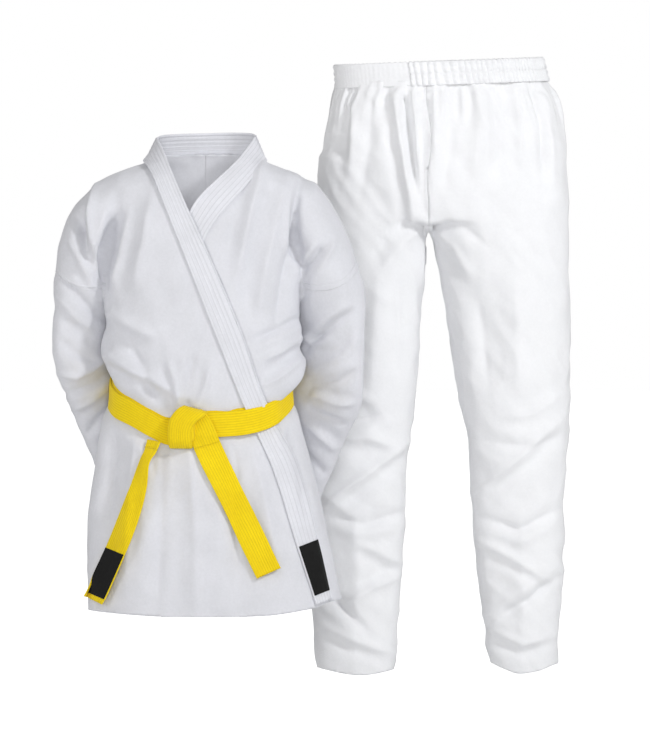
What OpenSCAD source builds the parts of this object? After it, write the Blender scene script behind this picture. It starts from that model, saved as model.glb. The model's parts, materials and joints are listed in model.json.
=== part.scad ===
// Martial arts uniform: crossed jacket with a tied belt, and trousers hanging behind it.
// +X is to the right seen from the front, -Y is the front, +Z is up.
// The origin is on the jacket's neck line, where a hanger or a stand's neck holds it.

/* [Jacket body] */
// Drop from the neck line to the jacket hem
jacket_drop = 745; // [740:1:755]
// Half the width of the body at the chest
chest_half = 164; // [160:1:165]
// Half the width of the body at the waist, under the belt
waist_half = 140; // [134:1:142]
// Half the width of the jacket at its hem
hem_half = 202; // [196:1:206]
// Depth of the chest in front of the side seams
chest_front = 92; // [86:1:94]
// Depth of the chest behind the side seams
chest_back = 68; // [64:1:70]
// Thickness of the body cloth
cloth = 2; // [1.6:0.1:2]

/* [Sleeves] */
// Half the width of a sleeve at the dropped shoulder seam
sleeve_half = 39; // [36:1:40]
// Height of the cuff's lower edge below the neck line
cuff_drop = 588; // [570:1:595]
// Width of the turned-in facing of the cuff
cuff_facing_w = 38; // [25:1:45]

/* [Belt] */
// Width of the belt
belt_w = 40; // [36:1:42]
// Thickness of one layer of the belt
belt_t = 3; // [2.5:0.1:3.2]
// Height of the belt's middle at the side seams, below the neck line
belt_drop = 392; // [388:1:396]

/* [Trousers] */
// Distance of the trousers' middle to the right of the jacket's middle
trousers_x = 382; // [378:1:420]
// Distance of the trousers' middle behind the jacket's middle
trousers_y = 226; // [224:1:260]
// Height of the waistband's top above the jacket's neck line
waist_top = 145; // [140:1:150]
// Width of the waistband
band_w = 43; // [38:1:46]
// Half the width of the waistband
band_half = 165; // [158:1:168]
// Half the width at the hips
hip_half = 200; // [196:1:204]
// Drop from the jacket's neck line to the crotch
crotch_drop = 129; // [125:1:135]
// Drop from the jacket's neck line to the trouser hem
leg_drop = 845; // [835:1:855]

/* [Hidden] */
gap = 1.6;
squareness = 2.5;
// The front splits just under the knot, so that it can lift about a line between these heights.
fixed_z = -468;
fold_z = -480;
tail_z = -488;
arm_z = -135;
arm_half_h = 88;
arm_angle = 38;
// The sleeve turns in the shoulder, so its seam is an arc about the shoulder's axis.
shoulder_x = 183;
shoulder_z = -148;
seam_r = 73.5;
seam_x = 210;
// Each leg spreads about an axis at the crotch's height, and its outer top slopes away to make room.
leg_axis = [106, -116];
leg_spread = 20;
over_off = cloth + gap;
over_lapel_t = 3.2;
under_lapel_t = 2;
belt_off = over_off + over_lapel_t + gap;
wrap_gap = 1.2;
belt_tilt = 0.61;
hem_z = -jacket_drop;
crotch_z = -crotch_drop;
band_z = waist_top - band_w;

// Half widths and depths of the jacket body, by height.
BODY_HALF = [
    [hem_z, hem_half], [-562, 182], [-480, 165], [-430, 147], [-belt_drop, waist_half], [-330, chest_half - 6],
    [-250, chest_half], [-113, chest_half], [-66, chest_half - 5], [-40, 150], [-12, 96]
];
BODY_FRONT = [
    [hem_z, 112], [-562, 102], [-480, 96], [-belt_drop, chest_front - 4], [-250, chest_front],
    [-113, chest_front - 4], [-40, 72], [-12, 60]
];
BODY_BACK = [
    [hem_z, 84], [-562, 76], [-480, 72], [-belt_drop, chest_back - 4], [-250, chest_back],
    [-113, chest_back - 2], [-40, 62], [-12, 58]
];

// Edges of the two lapel bands, as X by height. The left front is on top.
OVER_OUTER = [[hem_z, 183], [-631, 147], [-507, 108], [-449, 82], [-401, 60], [-14, -93]];
OVER_INNER = [[hem_z, 202], [-625, 180], [-496, 145], [-443, 118], [-383, 92], [-306, 69], [-142, -3], [-14, -60]];
UNDER_OUTER = [[hem_z, -122], [-500, -92], [-383, -58], [-300, -42], [-138, -3], [-13, 93]];
UNDER_INNER = [[hem_z, -160], [-500, -130], [-383, -95], [-300, -80], [-92, -21], [-13, 55]];

// Sleeve sections by height: middle X, middle Y, half width, half depth.
SLEEVE_X = [[-590, 152], [-520, 166], [-460, 186], [-400, 206], [-320, 214], [-240, 211], [-200, 210]];
SLEEVE_Y = [[-590, 106], [-520, 94], [-460, 72], [-400, 40], [-320, 18], [-240, 8], [-200, 5]];
SLEEVE_W = [[-590, 39], [-520, 41], [-460, 44], [-400, 46], [-320, 45], [-240, 41], [-200, sleeve_half]];
SLEEVE_D = [[-590, 31], [-520, 34], [-460, 40], [-400, 48], [-320, 54], [-240, 57], [-200, 60]];

// Hip sections by height, and the middle, half width and half depth of each leg.
HIP_HALF = [[crotch_z, hip_half], [-28, hip_half - 4], [50, hip_half - 13], [85, 177], [band_z, band_half + 1]];
HIP_DEPTH = [[crotch_z, 74], [0, 76], [band_z, 64]];
LEG_DEPTH = [[-leg_drop, 44], [-650, 54], [-400, 64], [crotch_z, 73]];
RIGHT_X = [[-leg_drop, 131], [-700, 126], [-548, 125], [-393, 115], [crotch_z, 91]];
RIGHT_W = [[-leg_drop, 50], [-700, 63], [-548, 73], [-393, 87], [crotch_z, 107]];
LEFT_X = [[-leg_drop, -139], [-700, -137], [-548, -134], [-393, -122], [crotch_z, -112]];
LEFT_W = [[-leg_drop, 63], [-700, 72], [-548, 77], [-393, 83], [crotch_z, 86]];

function spow(v, p) = sign(v) * pow(abs(v), p);
function mix(a, b, k) = a + (b - a) * k;

// A point of a rounded-square section; angle 0 is +X, 90 the front and 270 the back.
function section(t, half_w, front, back, n) = [
    half_w * spow(cos(t), 2 / n),
    -(sin(t) > 0 ? front : back) * spow(sin(t), 2 / n)
];

// A point of the jacket body, a distance off its inner face.
function body_point(t, z, off) = let (
    p = section(t, lookup(z, BODY_HALF) + off, lookup(z, BODY_FRONT) + off, lookup(z, BODY_BACK) + off, squareness)
) [p[0], p[1], z];

// The section angle of the front at a given X.
function angle_at(x, z) = let (r = max(-0.99, min(0.99, x / lookup(z, BODY_HALF))))
    acos(spow(r, squareness / 2));

// Half the angle that the armhole takes out of the side at a height.
function armhole(z, trim) = let (k = (z - arm_z) / (arm_half_h - trim))
    abs(k) < 1 ? (arm_angle - trim) * sqrt(1 - k * k) : 0;

// The over front lies on the under front, and comes down to the seam at the left side.
function over_lift(t) = over_off * min(1, (180 - t) / 20);

// Faces of a slab whose outer grid comes first, then its inner grid; rows run along v.
function grid_index(i, j, nv) = i * (nv + 1) + j;
function quad(a, b, c, d) = [[a, b, c], [a, c, d]];
function slab_faces(nu, nv, wrap) = let (
    rows = wrap ? nu : nu + 1,
    count = rows * (nv + 1),
    last = wrap ? nu - 1 : nu
) concat(
    [for (i = [0:nu - 1], j = [0:nv - 1]) let (k = (i + 1) % rows)
        each quad(grid_index(i, j, nv), grid_index(i, j + 1, nv), grid_index(k, j + 1, nv), grid_index(k, j, nv))],
    [for (i = [0:nu - 1], j = [0:nv - 1]) let (k = (i + 1) % rows)
        each quad(count + grid_index(i, j, nv), count + grid_index(k, j, nv),
                  count + grid_index(k, j + 1, nv), count + grid_index(i, j + 1, nv))],
    [for (i = [0:nu - 1]) let (k = (i + 1) % rows)
        each quad(grid_index(i, 0, nv), grid_index(k, 0, nv),
                  count + grid_index(k, 0, nv), count + grid_index(i, 0, nv))],
    [for (i = [0:nu - 1]) let (k = (i + 1) % rows)
        each quad(grid_index(i, nv, nv), count + grid_index(i, nv, nv),
                  count + grid_index(k, nv, nv), grid_index(k, nv, nv))],
    wrap ? [] : [for (j = [0:nv - 1])
        each quad(grid_index(0, j, nv), count + grid_index(0, j, nv),
                  count + grid_index(0, j + 1, nv), grid_index(0, j + 1, nv))],
    wrap ? [] : [for (j = [0:nv - 1])
        each quad(grid_index(last, j, nv), grid_index(last, j + 1, nv),
                  count + grid_index(last, j + 1, nv), count + grid_index(last, j, nv))]
);
function reversed(faces) = [for (f = faces) [f[0], f[2], f[1]]];

// A cloth panel between two offsets of place(u, v, off); a wrapped one is a closed tube.
module panel(place, nu, nv, inner, outer, wrap = false) {
    rows = wrap ? nu - 1 : nu;
    points = concat(
        [for (i = [0:rows], j = [0:nv]) place(i / nu, j / nv, outer)],
        [for (i = [0:rows], j = [0:nv]) place(i / nu, j / nv, inner)]
    );
    middle = place(0.5, 0.5, inner);
    along_u = place(0.51, 0.5, inner) - middle;
    along_v = place(0.5, 0.51, inner) - middle;
    outward = place(0.5, 0.5, outer) - middle;
    faces = slab_faces(nu, nv, wrap);
    polyhedron(points = points, faces = cross(along_u, along_v) * outward > 0 ? faces : reversed(faces));
}

// Part of the jacket's back between two angles, from the neck to the hem.
module back_panel(from, to) {
    panel(function (u, v, off) let (
        z = mix(-14, hem_z, v),
        lo = from == 180 ? 180 + armhole(z, 0) : from,
        hi = to == 360 ? 360 - armhole(z, 0) : to
    ) body_point(mix(lo, hi, u), z, off), 10, 28, 0, cloth);
}

// The over front from its side seam to its lapel, between two heights.
module over_front(top, bottom) {
    panel(function (u, v, off) let (
        z = mix(top, bottom, v),
        t = mix(180 - armhole(z, 0) - 0.2, angle_at(lookup(z, OVER_OUTER) - gap, z), u)
    ) body_point(t, z, off + over_lift(t)), 14, max(8, round((top - bottom) / 20)), 0, cloth);
}

// The under front from its side seam to its lapel, between two heights.
module under_front(top, bottom) {
    panel(function (u, v, off) let (
        z = mix(top, bottom, v),
        t = mix(armhole(z, 0) + 0.2, angle_at(lookup(z, UNDER_OUTER) + gap, z), u)
    ) body_point(t, z, off), 14, max(8, round((top - bottom) / 20)), 0, cloth);
}

// A lapel band between its two edges and two heights.
module lapel(outer_edge, inner_edge, top, bottom, lift, thickness) {
    panel(function (u, v, off) let (
        z = mix(top, bottom, v),
        t = mix(angle_at(lookup(z, outer_edge), z), angle_at(lookup(z, inner_edge), z), u)
    ) body_point(t, z, off), 4, max(8, round((top - bottom) / 20)), lift, lift + thickness);
}

// The stitched band that stands round the back of the neck.
module neck_ring() {
    panel(function (u, v, off) let (
        t = mix(184, 356, u),
        p = section(t, mix(88, 74, v) + off, 60, mix(52, 46, v) + off, 2)
    ) [p[0], p[1], mix(-13, 14, v) - 8 * abs(cos(t)) + 10 * v * -sin(t)], 18, 3, 0, over_lapel_t);
}

// The height of the sleeve seam at a given X, some clearance outside its arc.
function seam_arc(x, clear) = shoulder_z - sqrt(pow(seam_r + clear, 2) - pow(x - shoulder_x, 2));

// The dropped shoulder on the right: a bent tube from the armhole to the sleeve seam.
function cap_point(u, v, off) = let (
    phi = 360 * u,
    z = arm_z + (arm_half_h - 4 + off * 0.5) * sin(phi),
    start = body_point((arm_angle - 5) * cos(phi) + (cos(phi) < 0 ? 360 : 0), z, off),
    end_x = seam_x + (sleeve_half + off) * sin(phi),
    end = [end_x, -(60 + off) * cos(phi) + 5, seam_arc(end_x, 0)],
    bend = [mix(start[0], end[0], 0.75), mix(start[1], end[1], 0.5), mix(start[2], end[2], 0.1)]
) mix(mix(start, bend, v), mix(bend, end, v), v);
module shoulder_cap() {
    panel(function (u, v, off) cap_point(u, mix(0.05, 1, v), off), 20, 8, 0, cloth, true);
}

// A point of the right sleeve.
function sleeve_point(u, z, off) = let (
    t = 360 * u,
    p = section(t, lookup(z, SLEEVE_W) + off, lookup(z, SLEEVE_D) + off, lookup(z, SLEEVE_D) + off, 2)
) [lookup(z, SLEEVE_X) + p[0], lookup(z, SLEEVE_Y) + p[1], z];
module sleeve_tube() {
    panel(function (u, v, off) let (
        top = seam_arc(sleeve_point(u, -200, off)[0], 1),
        p = sleeve_point(u, mix(-200, -cuff_drop, v), off),
        fade = pow(1 - v, 3)
    ) [p[0], p[1], p[2] + (top + 200) * fade], 20, 18, 0, cloth, true);
}
module cuff_ring() {
    panel(function (u, v, off) sleeve_point(u, mix(-cuff_drop + cuff_facing_w, -cuff_drop, v), off),
          20, 3, -cloth - 0.4, -0.4, true);
}

// One turn of the belt, lower in front than behind.
module belt_wrap(off, rise) {
    panel(function (u, v, o) let (
        t = 360 * u,
        y = section(t, 1, chest_front, chest_back, squareness)[1],
        z = -belt_drop + belt_tilt * y + rise + mix(belt_w / 2, -belt_w / 2, v)
    ) body_point(t, z, o), 40, 3, off, off + belt_t, true);
}

// A tail of the belt that hangs along a list of [x, z] points over the front.
function tail_y(x, z, off) = let (
    r = x / (lookup(z, BODY_HALF) * 1.2)
) -(lookup(z, BODY_FRONT) + off) * pow(1 - pow(abs(r), squareness), 1 / squareness);
module tail(path, lo, hi, from, to) {
    steps = len(path) - 1;
    panel(function (u, v, off) let (
        s = mix(from, to, v) * steps,
        k = min(steps - 1, floor(s)),
        c = mix(path[k], path[k + 1], s - k),
        d = path[k + 1] - path[k],
        side = [-d[1], d[0]] / norm(d) * belt_w * (u - 0.5),
        x = c[0] + side[0],
        z = c[1] + side[1] * 0.999
    ) [x, tail_y(c[0], min(tail_z, z), off), min(tail_z, z)], 4, 12, lo, hi);
}
tail_off = over_off + over_lapel_t + gap;
tail_t = 3.5;
left_path = [[-78, -478], [-104, -538], [-127, -600], [-150, -661], [-174, -722]];
right_path = [[6, -478], [35, -536], [62, -590], [82, -632], [103, -675]];

// A point of the hips, and of a leg given its middle, width and the shared depth.
function hip_point(t, z, off) = let (
    d = lookup(z, HIP_DEPTH) + off,
    p = section(t, lookup(z, HIP_HALF) + off, d, d, 2.3)
) [trousers_x + p[0], trousers_y + p[1], z];
function leg_point(t, z, off, middle, half) = let (
    d = lookup(z, LEG_DEPTH) + off,
    p = section(t, lookup(z, half) + off, d, d, 2.2)
) [trousers_x + lookup(z, middle) + p[0], trousers_y + p[1], z];

module hip_panel(from, to) {
    panel(function (u, v, off) hip_point(mix(from + 0.2, to - 0.2, u), mix(band_z - gap, crotch_z, v), off),
          8, 8, 0, cloth);
}
module leg_panel(from, to, middle, half, axis) {
    panel(function (u, v, off) let (
        t = mix(from + 0.3, to - 0.3, u),
        out = (leg_point(t, crotch_z, off, middle, half)[0] - trousers_x - axis) * sign(axis),
        top = crotch_z - 2 - max(0, out) * tan(leg_spread)
    ) leg_point(t, mix(top, -leg_drop, v), off, middle, half), 12, 16, 0, cloth);
}
module leg_facing(middle, half) {
    panel(function (u, v, off) leg_point(360 * u, mix(-leg_drop + 30, -leg_drop, v), off, middle, half),
          20, 2, -cloth - 0.4, -0.4, true);
}
module band(from, to, lo, hi, inset) {
    panel(function (u, v, off) let (
        p = section(mix(from, to, u), band_half + off, 62 + off, 62 + off, 2.3)
    ) [trousers_x - 4 + p[0], trousers_y + p[1], mix(waist_top - inset, band_z + inset, v)],
    max(8, round((to - from) / 10)), 2, lo, hi, to - from == 360);
}

module back_panel_left() { color("white") back_panel(180, 269.8); }
module back_panel_right() { color("white") back_panel(270.2, 360); }
module front_panel_over() { color("white") over_front(-14, fixed_z); }
module front_panel_under() { color("white") under_front(-14, fixed_z); }
module neck_band() { color("whitesmoke") neck_ring(); }
module lapel_over() { color("whitesmoke") lapel(OVER_OUTER, OVER_INNER, -15, fixed_z, over_off, over_lapel_t); }
module lapel_under() { color("whitesmoke") lapel(UNDER_OUTER, UNDER_INNER, -15, fixed_z, 0, under_lapel_t); }
module shoulder_cap_right() { color("white") shoulder_cap(); }
module shoulder_cap_left() { color("white") mirror([1, 0, 0]) shoulder_cap(); }
module belt_inner_wrap() { color("gold") belt_wrap(belt_off, 2.5); }
module belt_outer_wrap() { color("gold") belt_wrap(belt_off + belt_t + wrap_gap, 0); }
module belt_knot() {
    depth = lookup(fixed_z, BODY_FRONT) + belt_off + 2 * belt_t + wrap_gap;
    color("gold") hull() for (x = [-46, 8], z = [-424, -460], y = [11.5, 20])
        translate([x, -depth - y, z + (x + 19) * 0.06]) sphere(r = 11, $fn = 20);
}
module skirt_panel_over() { color("white") over_front(fold_z, hem_z); }
module skirt_panel_under() { color("white") under_front(fold_z, hem_z); }
module skirt_lapel_over() { color("whitesmoke") lapel(OVER_OUTER, OVER_INNER, fold_z, hem_z, over_off, over_lapel_t); }
module skirt_lapel_under() { color("whitesmoke") lapel(UNDER_OUTER, UNDER_INNER, fold_z, hem_z, 0, under_lapel_t); }
module lapel_patch() {
    lift = over_off + over_lapel_t;
    color("black") lapel([for (p = OVER_OUTER) [p[0], p[1] + 3]], [for (p = OVER_INNER) [p[0], p[1] - 3]],
                         -633, -712, lift + 0.2, 0.8);
}
module sleeve_right() { color("white") sleeve_tube(); }
module sleeve_left() { color("white") mirror([1, 0, 0]) sleeve_tube(); }
module cuff_facing_right() { color("white") cuff_ring(); }
module cuff_facing_left() { color("white") mirror([1, 0, 0]) cuff_ring(); }
module belt_tail_left() { color("gold") tail(left_path, tail_off, tail_off + tail_t, 0, 1); }
module belt_tail_right() { color("gold") tail(right_path, tail_off, tail_off + tail_t, 0, 1); }
module belt_tail_patch() { color("black") tail(left_path, tail_off + tail_t + 0.2, tail_off + tail_t + 1, 0.66, 0.94); }
module hip_front_right() { color("white") hip_panel(0, 90); }
module hip_front_left() { color("white") hip_panel(90, 180); }
module hip_back_left() { color("white") hip_panel(180, 270); }
module hip_back_right() { color("white") hip_panel(270, 360); }
module crotch_gusset() {
    color("white") panel(function (u, v, off) [
        trousers_x - 21 + mix(-22, 22, u), trousers_y + mix(-70, 70, v), crotch_z + 1 + off + 2 * pow(2 * v - 1, 2)
    ], 2, 10, 0, cloth);
}
module waistband_flat_front() { color("white") band(104, 180, 2, 4, 0); }
module waistband_gathered() { color("white") band(180.4, 463.6, 2, 4, 0); }
module waist_elastic() { color("ivory") band(0, 360, 0, 1.6, 2); }
module waistband_lining() { color("white") band(0, 360, -2.2, -0.4, 0); }
module leg_left_front() { color("white") leg_panel(0, 180, LEFT_X, LEFT_W, leg_axis[1]); }
module leg_left_back() { color("white") leg_panel(180, 360, LEFT_X, LEFT_W, leg_axis[1]); }
module leg_left_hem_facing() { color("white") leg_facing(LEFT_X, LEFT_W); }
module leg_right_front() { color("white") leg_panel(0, 180, RIGHT_X, RIGHT_W, leg_axis[0]); }
module leg_right_back() { color("white") leg_panel(180, 360, RIGHT_X, RIGHT_W, leg_axis[0]); }
module leg_right_hem_facing() { color("white") leg_facing(RIGHT_X, RIGHT_W); }

back_panel_left();
back_panel_right();
front_panel_over();
front_panel_under();
neck_band();
lapel_over();
lapel_under();
shoulder_cap_left();
shoulder_cap_right();
belt_inner_wrap();
belt_outer_wrap();
belt_knot();
skirt_panel_over();
skirt_panel_under();
skirt_lapel_over();
skirt_lapel_under();
lapel_patch();
sleeve_left();
cuff_facing_left();
sleeve_right();
cuff_facing_right();
belt_tail_left();
belt_tail_patch();
belt_tail_right();
hip_front_left();
hip_front_right();
hip_back_left();
hip_back_right();
crotch_gusset();
waistband_flat_front();
waistband_gathered();
waistband_lining();
waist_elastic();
leg_left_front();
leg_left_back();
leg_left_hem_facing();
leg_right_front();
leg_right_back();
leg_right_hem_facing();
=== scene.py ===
"""A martial arts uniform: crossed jacket with a knotted belt, and trousers hanging behind it.

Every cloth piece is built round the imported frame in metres: +X right, -Y front, +Z up.
Skins are lofted, remeshed and folded, and strips such as the lapels and the belt are laid on them.
"""
import json
import math

import bmesh
import bpy
import numpy as np
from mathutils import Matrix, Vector, noise
from mathutils.bvhtree import BVHTree


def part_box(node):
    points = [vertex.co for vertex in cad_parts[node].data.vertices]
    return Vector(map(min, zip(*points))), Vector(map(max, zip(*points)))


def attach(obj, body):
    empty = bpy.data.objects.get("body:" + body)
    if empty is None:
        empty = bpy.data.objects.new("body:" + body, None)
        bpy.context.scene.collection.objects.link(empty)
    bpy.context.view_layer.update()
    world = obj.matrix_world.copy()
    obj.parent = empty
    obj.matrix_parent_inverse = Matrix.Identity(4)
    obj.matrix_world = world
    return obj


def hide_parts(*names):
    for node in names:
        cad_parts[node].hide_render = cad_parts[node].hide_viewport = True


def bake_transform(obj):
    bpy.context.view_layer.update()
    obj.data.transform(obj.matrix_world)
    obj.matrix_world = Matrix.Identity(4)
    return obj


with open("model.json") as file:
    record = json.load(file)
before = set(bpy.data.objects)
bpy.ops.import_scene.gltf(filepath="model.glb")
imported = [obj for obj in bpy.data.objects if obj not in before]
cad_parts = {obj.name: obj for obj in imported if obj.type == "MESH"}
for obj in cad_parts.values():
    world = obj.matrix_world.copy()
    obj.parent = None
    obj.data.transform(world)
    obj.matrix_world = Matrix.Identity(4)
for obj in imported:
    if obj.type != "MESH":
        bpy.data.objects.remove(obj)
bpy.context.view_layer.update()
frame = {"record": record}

MM = 0.001


def detail(quick, full):
    """A count or a size: the second is used; the first is not used."""
    return full


VOXEL = detail(5.0, 3.4) * MM
SKIN_PASSES = detail(6, 10)

# Levels that the frame gives.
HEM_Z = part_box("skirt_panel_over")[0][2]
CUFF_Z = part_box("sleeve_left")[0][2]
WAIST_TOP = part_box("waistband_gathered")[1][2]
BAND_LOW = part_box("waistband_gathered")[0][2]
LEG_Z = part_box("leg_left_front")[0][2]
TROUSER_Y = (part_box("waist_elastic")[0][1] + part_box("waist_elastic")[1][1]) / 2
JOINTS = {joint["name"]: joint for joint in frame["record"]["behaviour"]["joints"]}

# ---------------------------------------------------------------- camera, lights and floor

VIEW_WIDTH, VIEW_DISTANCE, VIEW_RISE = 1.046, 14.0, math.radians(2.0)
PICTURE_SHAPE = 750 / 650
SENSOR = 36
AIM = Vector((0.193, 0.0, -0.362))
# The sky is dimmer as a light than to the camera, and the floor glows for the camera only.
SKY_LIGHT, SKY_SEEN, FLOOR_GLOW = 0.4, 1.0, 0.8


def aimed(obj, place, target):
    obj.location = place
    obj.rotation_euler = (Vector(target) - Vector(place)).to_track_quat("-Z", "Y").to_euler()
    bpy.context.scene.collection.objects.link(obj)
    return obj


lens = bpy.data.cameras.new("camera")
lens.sensor_width = SENSOR
lens.lens = SENSOR * VIEW_DISTANCE / (VIEW_WIDTH * PICTURE_SHAPE)
lens.clip_end = 100
camera = aimed(bpy.data.objects.new("camera", lens),
               AIM + Vector((0, -math.cos(VIEW_RISE), math.sin(VIEW_RISE))) * VIEW_DISTANCE, AIM)
bpy.context.scene.camera = camera
bpy.context.scene.view_settings.view_transform = "Standard"


def area_light(name, place, size, power, colour=(1, 1, 1), target=(0.19, 0.05, -0.35)):
    """A soft round light that points at the middle of the two garments unless told otherwise."""
    data = bpy.data.lights.new(name, "AREA")
    data.shape = "DISK"
    data.size = size
    data.energy = power
    data.color = colour
    return aimed(bpy.data.objects.new(name, data), place, target)


area_light("key", (2.5, -2.3, 1.75), 0.5, 61, (0.985, 0.99, 1))
area_light("fill", (-0.1, -4.2, 0.25), 1.2, 34, (1, 0.995, 0.99))
area_light("side", (-3.2, -2.4, 0.6), 1.4, 27, (1, 0.99, 0.975))
area_light("rim", (0.6, 2.6, 1.8), 1.8, 16)
# A very small light inside the neck opening shines on the back's inner side.
area_light("inside_neck", (0.0, -0.05, -0.03), 0.05, 0.043, target=(0.015, 0.06, -0.12))

world = bpy.data.worlds.new("studio")
world.use_nodes = True
sky = world.node_tree.nodes["Background"]
sky.inputs["Color"].default_value = (1, 1, 1, 1)
seen = world.node_tree.nodes.new("ShaderNodeLightPath")
glow = world.node_tree.nodes.new("ShaderNodeMapRange")
glow.inputs["To Min"].default_value = SKY_LIGHT
glow.inputs["To Max"].default_value = SKY_SEEN
world.node_tree.links.new(seen.outputs["Is Camera Ray"], glow.inputs["Value"])
world.node_tree.links.new(glow.outputs["Result"], sky.inputs["Strength"])
bpy.context.scene.world = world


# ---------------------------------------------------------------- numbers

def table(points):
    """A smooth function through [input, value] rows in millimetres, as metres in and out."""
    rows = sorted(points)
    x = np.array([row[0] for row in rows], float) * MM
    y = np.array([row[1] for row in rows], float) * MM
    step = np.diff(x)
    slope = np.diff(y) / step
    tangent = np.zeros_like(y)
    same = slope[:-1] * slope[1:] > 0
    weight_a = 2 * step[1:] + step[:-1]
    weight_b = step[1:] + 2 * step[:-1]
    inner = np.zeros(len(slope) - 1)
    inner[same] = (weight_a + weight_b)[same] / (
        weight_a[same] / slope[:-1][same] + weight_b[same] / slope[1:][same])
    tangent[1:-1] = inner
    tangent[0], tangent[-1] = slope[0], slope[-1]

    def value(at):
        at = np.clip(np.asarray(at, float), x[0], x[-1])
        k = np.clip(np.searchsorted(x, at) - 1, 0, len(step) - 1)
        t = (at - x[k]) / step[k]
        return (y[k] * (1 + 2 * t) * (1 - t) ** 2 + tangent[k] * step[k] * t * (1 - t) ** 2
                + y[k + 1] * t * t * (3 - 2 * t) + tangent[k + 1] * step[k] * t * t * (t - 1))
    return value


def smooth(a, b, at):
    """0 before a, 1 after b, and a smooth rise between them."""
    t = np.clip((np.asarray(at, float) - a) / (b - a), 0, 1)
    return t * t * (3 - 2 * t)


def signed_power(value, power):
    return np.sign(value) * np.abs(value) ** power


def unit(vectors):
    return vectors / np.maximum(np.linalg.norm(vectors, axis=-1, keepdims=True), 1e-9)


# ---------------------------------------------------------------- meshes

def new_object(name, points, faces, material, uv=None):
    """A smooth-shaded object; uv is one pair for each vertex."""
    mesh = bpy.data.meshes.new(name)
    mesh.from_pydata([tuple(p) for p in points], [], [tuple(f) for f in faces])
    mesh.polygons.foreach_set("use_smooth", [True] * len(mesh.polygons))
    if uv is not None:
        layer = mesh.uv_layers.new(name="strip")
        index = np.zeros(len(mesh.loops), int)
        mesh.loops.foreach_get("vertex_index", index)
        layer.data.foreach_set("uv", np.asarray(uv, np.float32)[index].ravel())
    mesh.materials.append(material)
    obj = bpy.data.objects.new(name, mesh)
    bpy.context.scene.collection.objects.link(obj)
    return obj


def grid_faces(rows, columns, wrap):
    """Quads of a grid of points, row by row; wrap joins the last column to the first."""
    faces = []
    for r in range(rows - 1):
        for c in range(columns if wrap else columns - 1):
            d = (c + 1) % columns
            a, b = r * columns, (r + 1) * columns
            faces.append((a + c, a + d, b + d, b + c))
    return faces


def vertex_rows(mesh, key):
    out = np.zeros(len(mesh.vertices) * 3)
    mesh.vertices.foreach_get(key, out)
    return out.reshape(-1, 3)


def coordinates(mesh):
    return vertex_rows(mesh, "co")


def normals(mesh):
    return vertex_rows(mesh, "normal")


def set_coordinates(mesh, points):
    mesh.vertices.foreach_set("co", np.asarray(points, float).ravel())
    mesh.update()


def relax(mesh, passes, strength=0.5, hold=None):
    """Moves each vertex towards the mean of its neighbours; hold is 1 where it stays."""
    edges = np.zeros(len(mesh.edges) * 2, int)
    mesh.edges.foreach_get("vertices", edges)
    a, b = edges.reshape(-1, 2).T
    points = coordinates(mesh)
    count = np.bincount(a, minlength=len(points)) + np.bincount(b, minlength=len(points))
    free = 1.0 if hold is None else (1 - hold)[:, None]
    for _ in range(passes):
        total = np.zeros_like(points)
        np.add.at(total, a, points[b])
        np.add.at(total, b, points[a])
        mean = total / np.maximum(count, 1)[:, None]
        points = points + (mean - points) * strength * free
    set_coordinates(mesh, points)


def closed_tube(rings):
    """Points and faces of a tube of rings, shut at both ends."""
    rows, columns = rings.shape[:2]
    points = rings.reshape(-1, 3).tolist()
    faces = grid_faces(rows, columns, True)
    for row in (0, rows - 1):
        centre = len(points)
        points.append(rings[row].mean(axis=0).tolist())
        for c in range(columns):
            d = (c + 1) % columns
            edge = (row * columns + c, row * columns + d)
            faces.append((edge[1], edge[0], centre) if row == 0 else (edge[0], edge[1], centre))
    return points, faces


def evaluated_mesh(obj):
    """A new mesh of the object with its modifiers worked out."""
    bpy.context.view_layer.update()
    return bpy.data.meshes.new_from_object(obj.evaluated_get(bpy.context.evaluated_depsgraph_get()))


def tube(section, levels, around):
    """A closed tube through section(angle, height) at each level, in millimetres."""
    angles = np.linspace(0, 2 * math.pi, around, endpoint=False)
    return closed_tube(np.array([[section(t, level * MM) for t in angles] for level in levels]))


def blurred_ring(ring, passes):
    """A ring of values or rows of points, each averaged with its neighbours."""
    for _ in range(passes):
        ring = (np.roll(ring, 1, 0) + 2 * ring + np.roll(ring, -1, 0)) / 4
    return ring


def remeshed(name, solids):
    """One skin round several closed solids, as evenly sized quads."""
    points, faces = [], []
    for solid_points, solid_faces in solids:
        start = len(points)
        points += solid_points
        faces += [tuple(start + i for i in face) for face in solid_faces]
    mesh = bpy.data.meshes.new(name + "_raw")
    mesh.from_pydata(points, [], faces)
    obj = bpy.data.objects.new(name + "_raw", mesh)
    bpy.context.scene.collection.objects.link(obj)
    modifier = obj.modifiers.new("skin", "REMESH")
    modifier.mode = "VOXEL"
    modifier.voxel_size = VOXEL
    skin = evaluated_mesh(obj)
    bpy.data.objects.remove(obj)
    bpy.data.meshes.remove(mesh)
    skin.name = name
    return skin


def thicken(obj, thickness):
    """Gives a sheet its thickness as real geometry, on its inner side."""
    modifier = obj.modifiers.new("cloth", "SOLIDIFY")
    modifier.thickness = thickness
    modifier.offset = -1
    modifier.use_even_offset = False
    modifier.use_quality_normals = True
    mesh = evaluated_mesh(obj)
    obj.modifiers.clear()
    old = obj.data
    obj.data = mesh
    bpy.data.meshes.remove(old)
    mesh.name = obj.name


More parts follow.
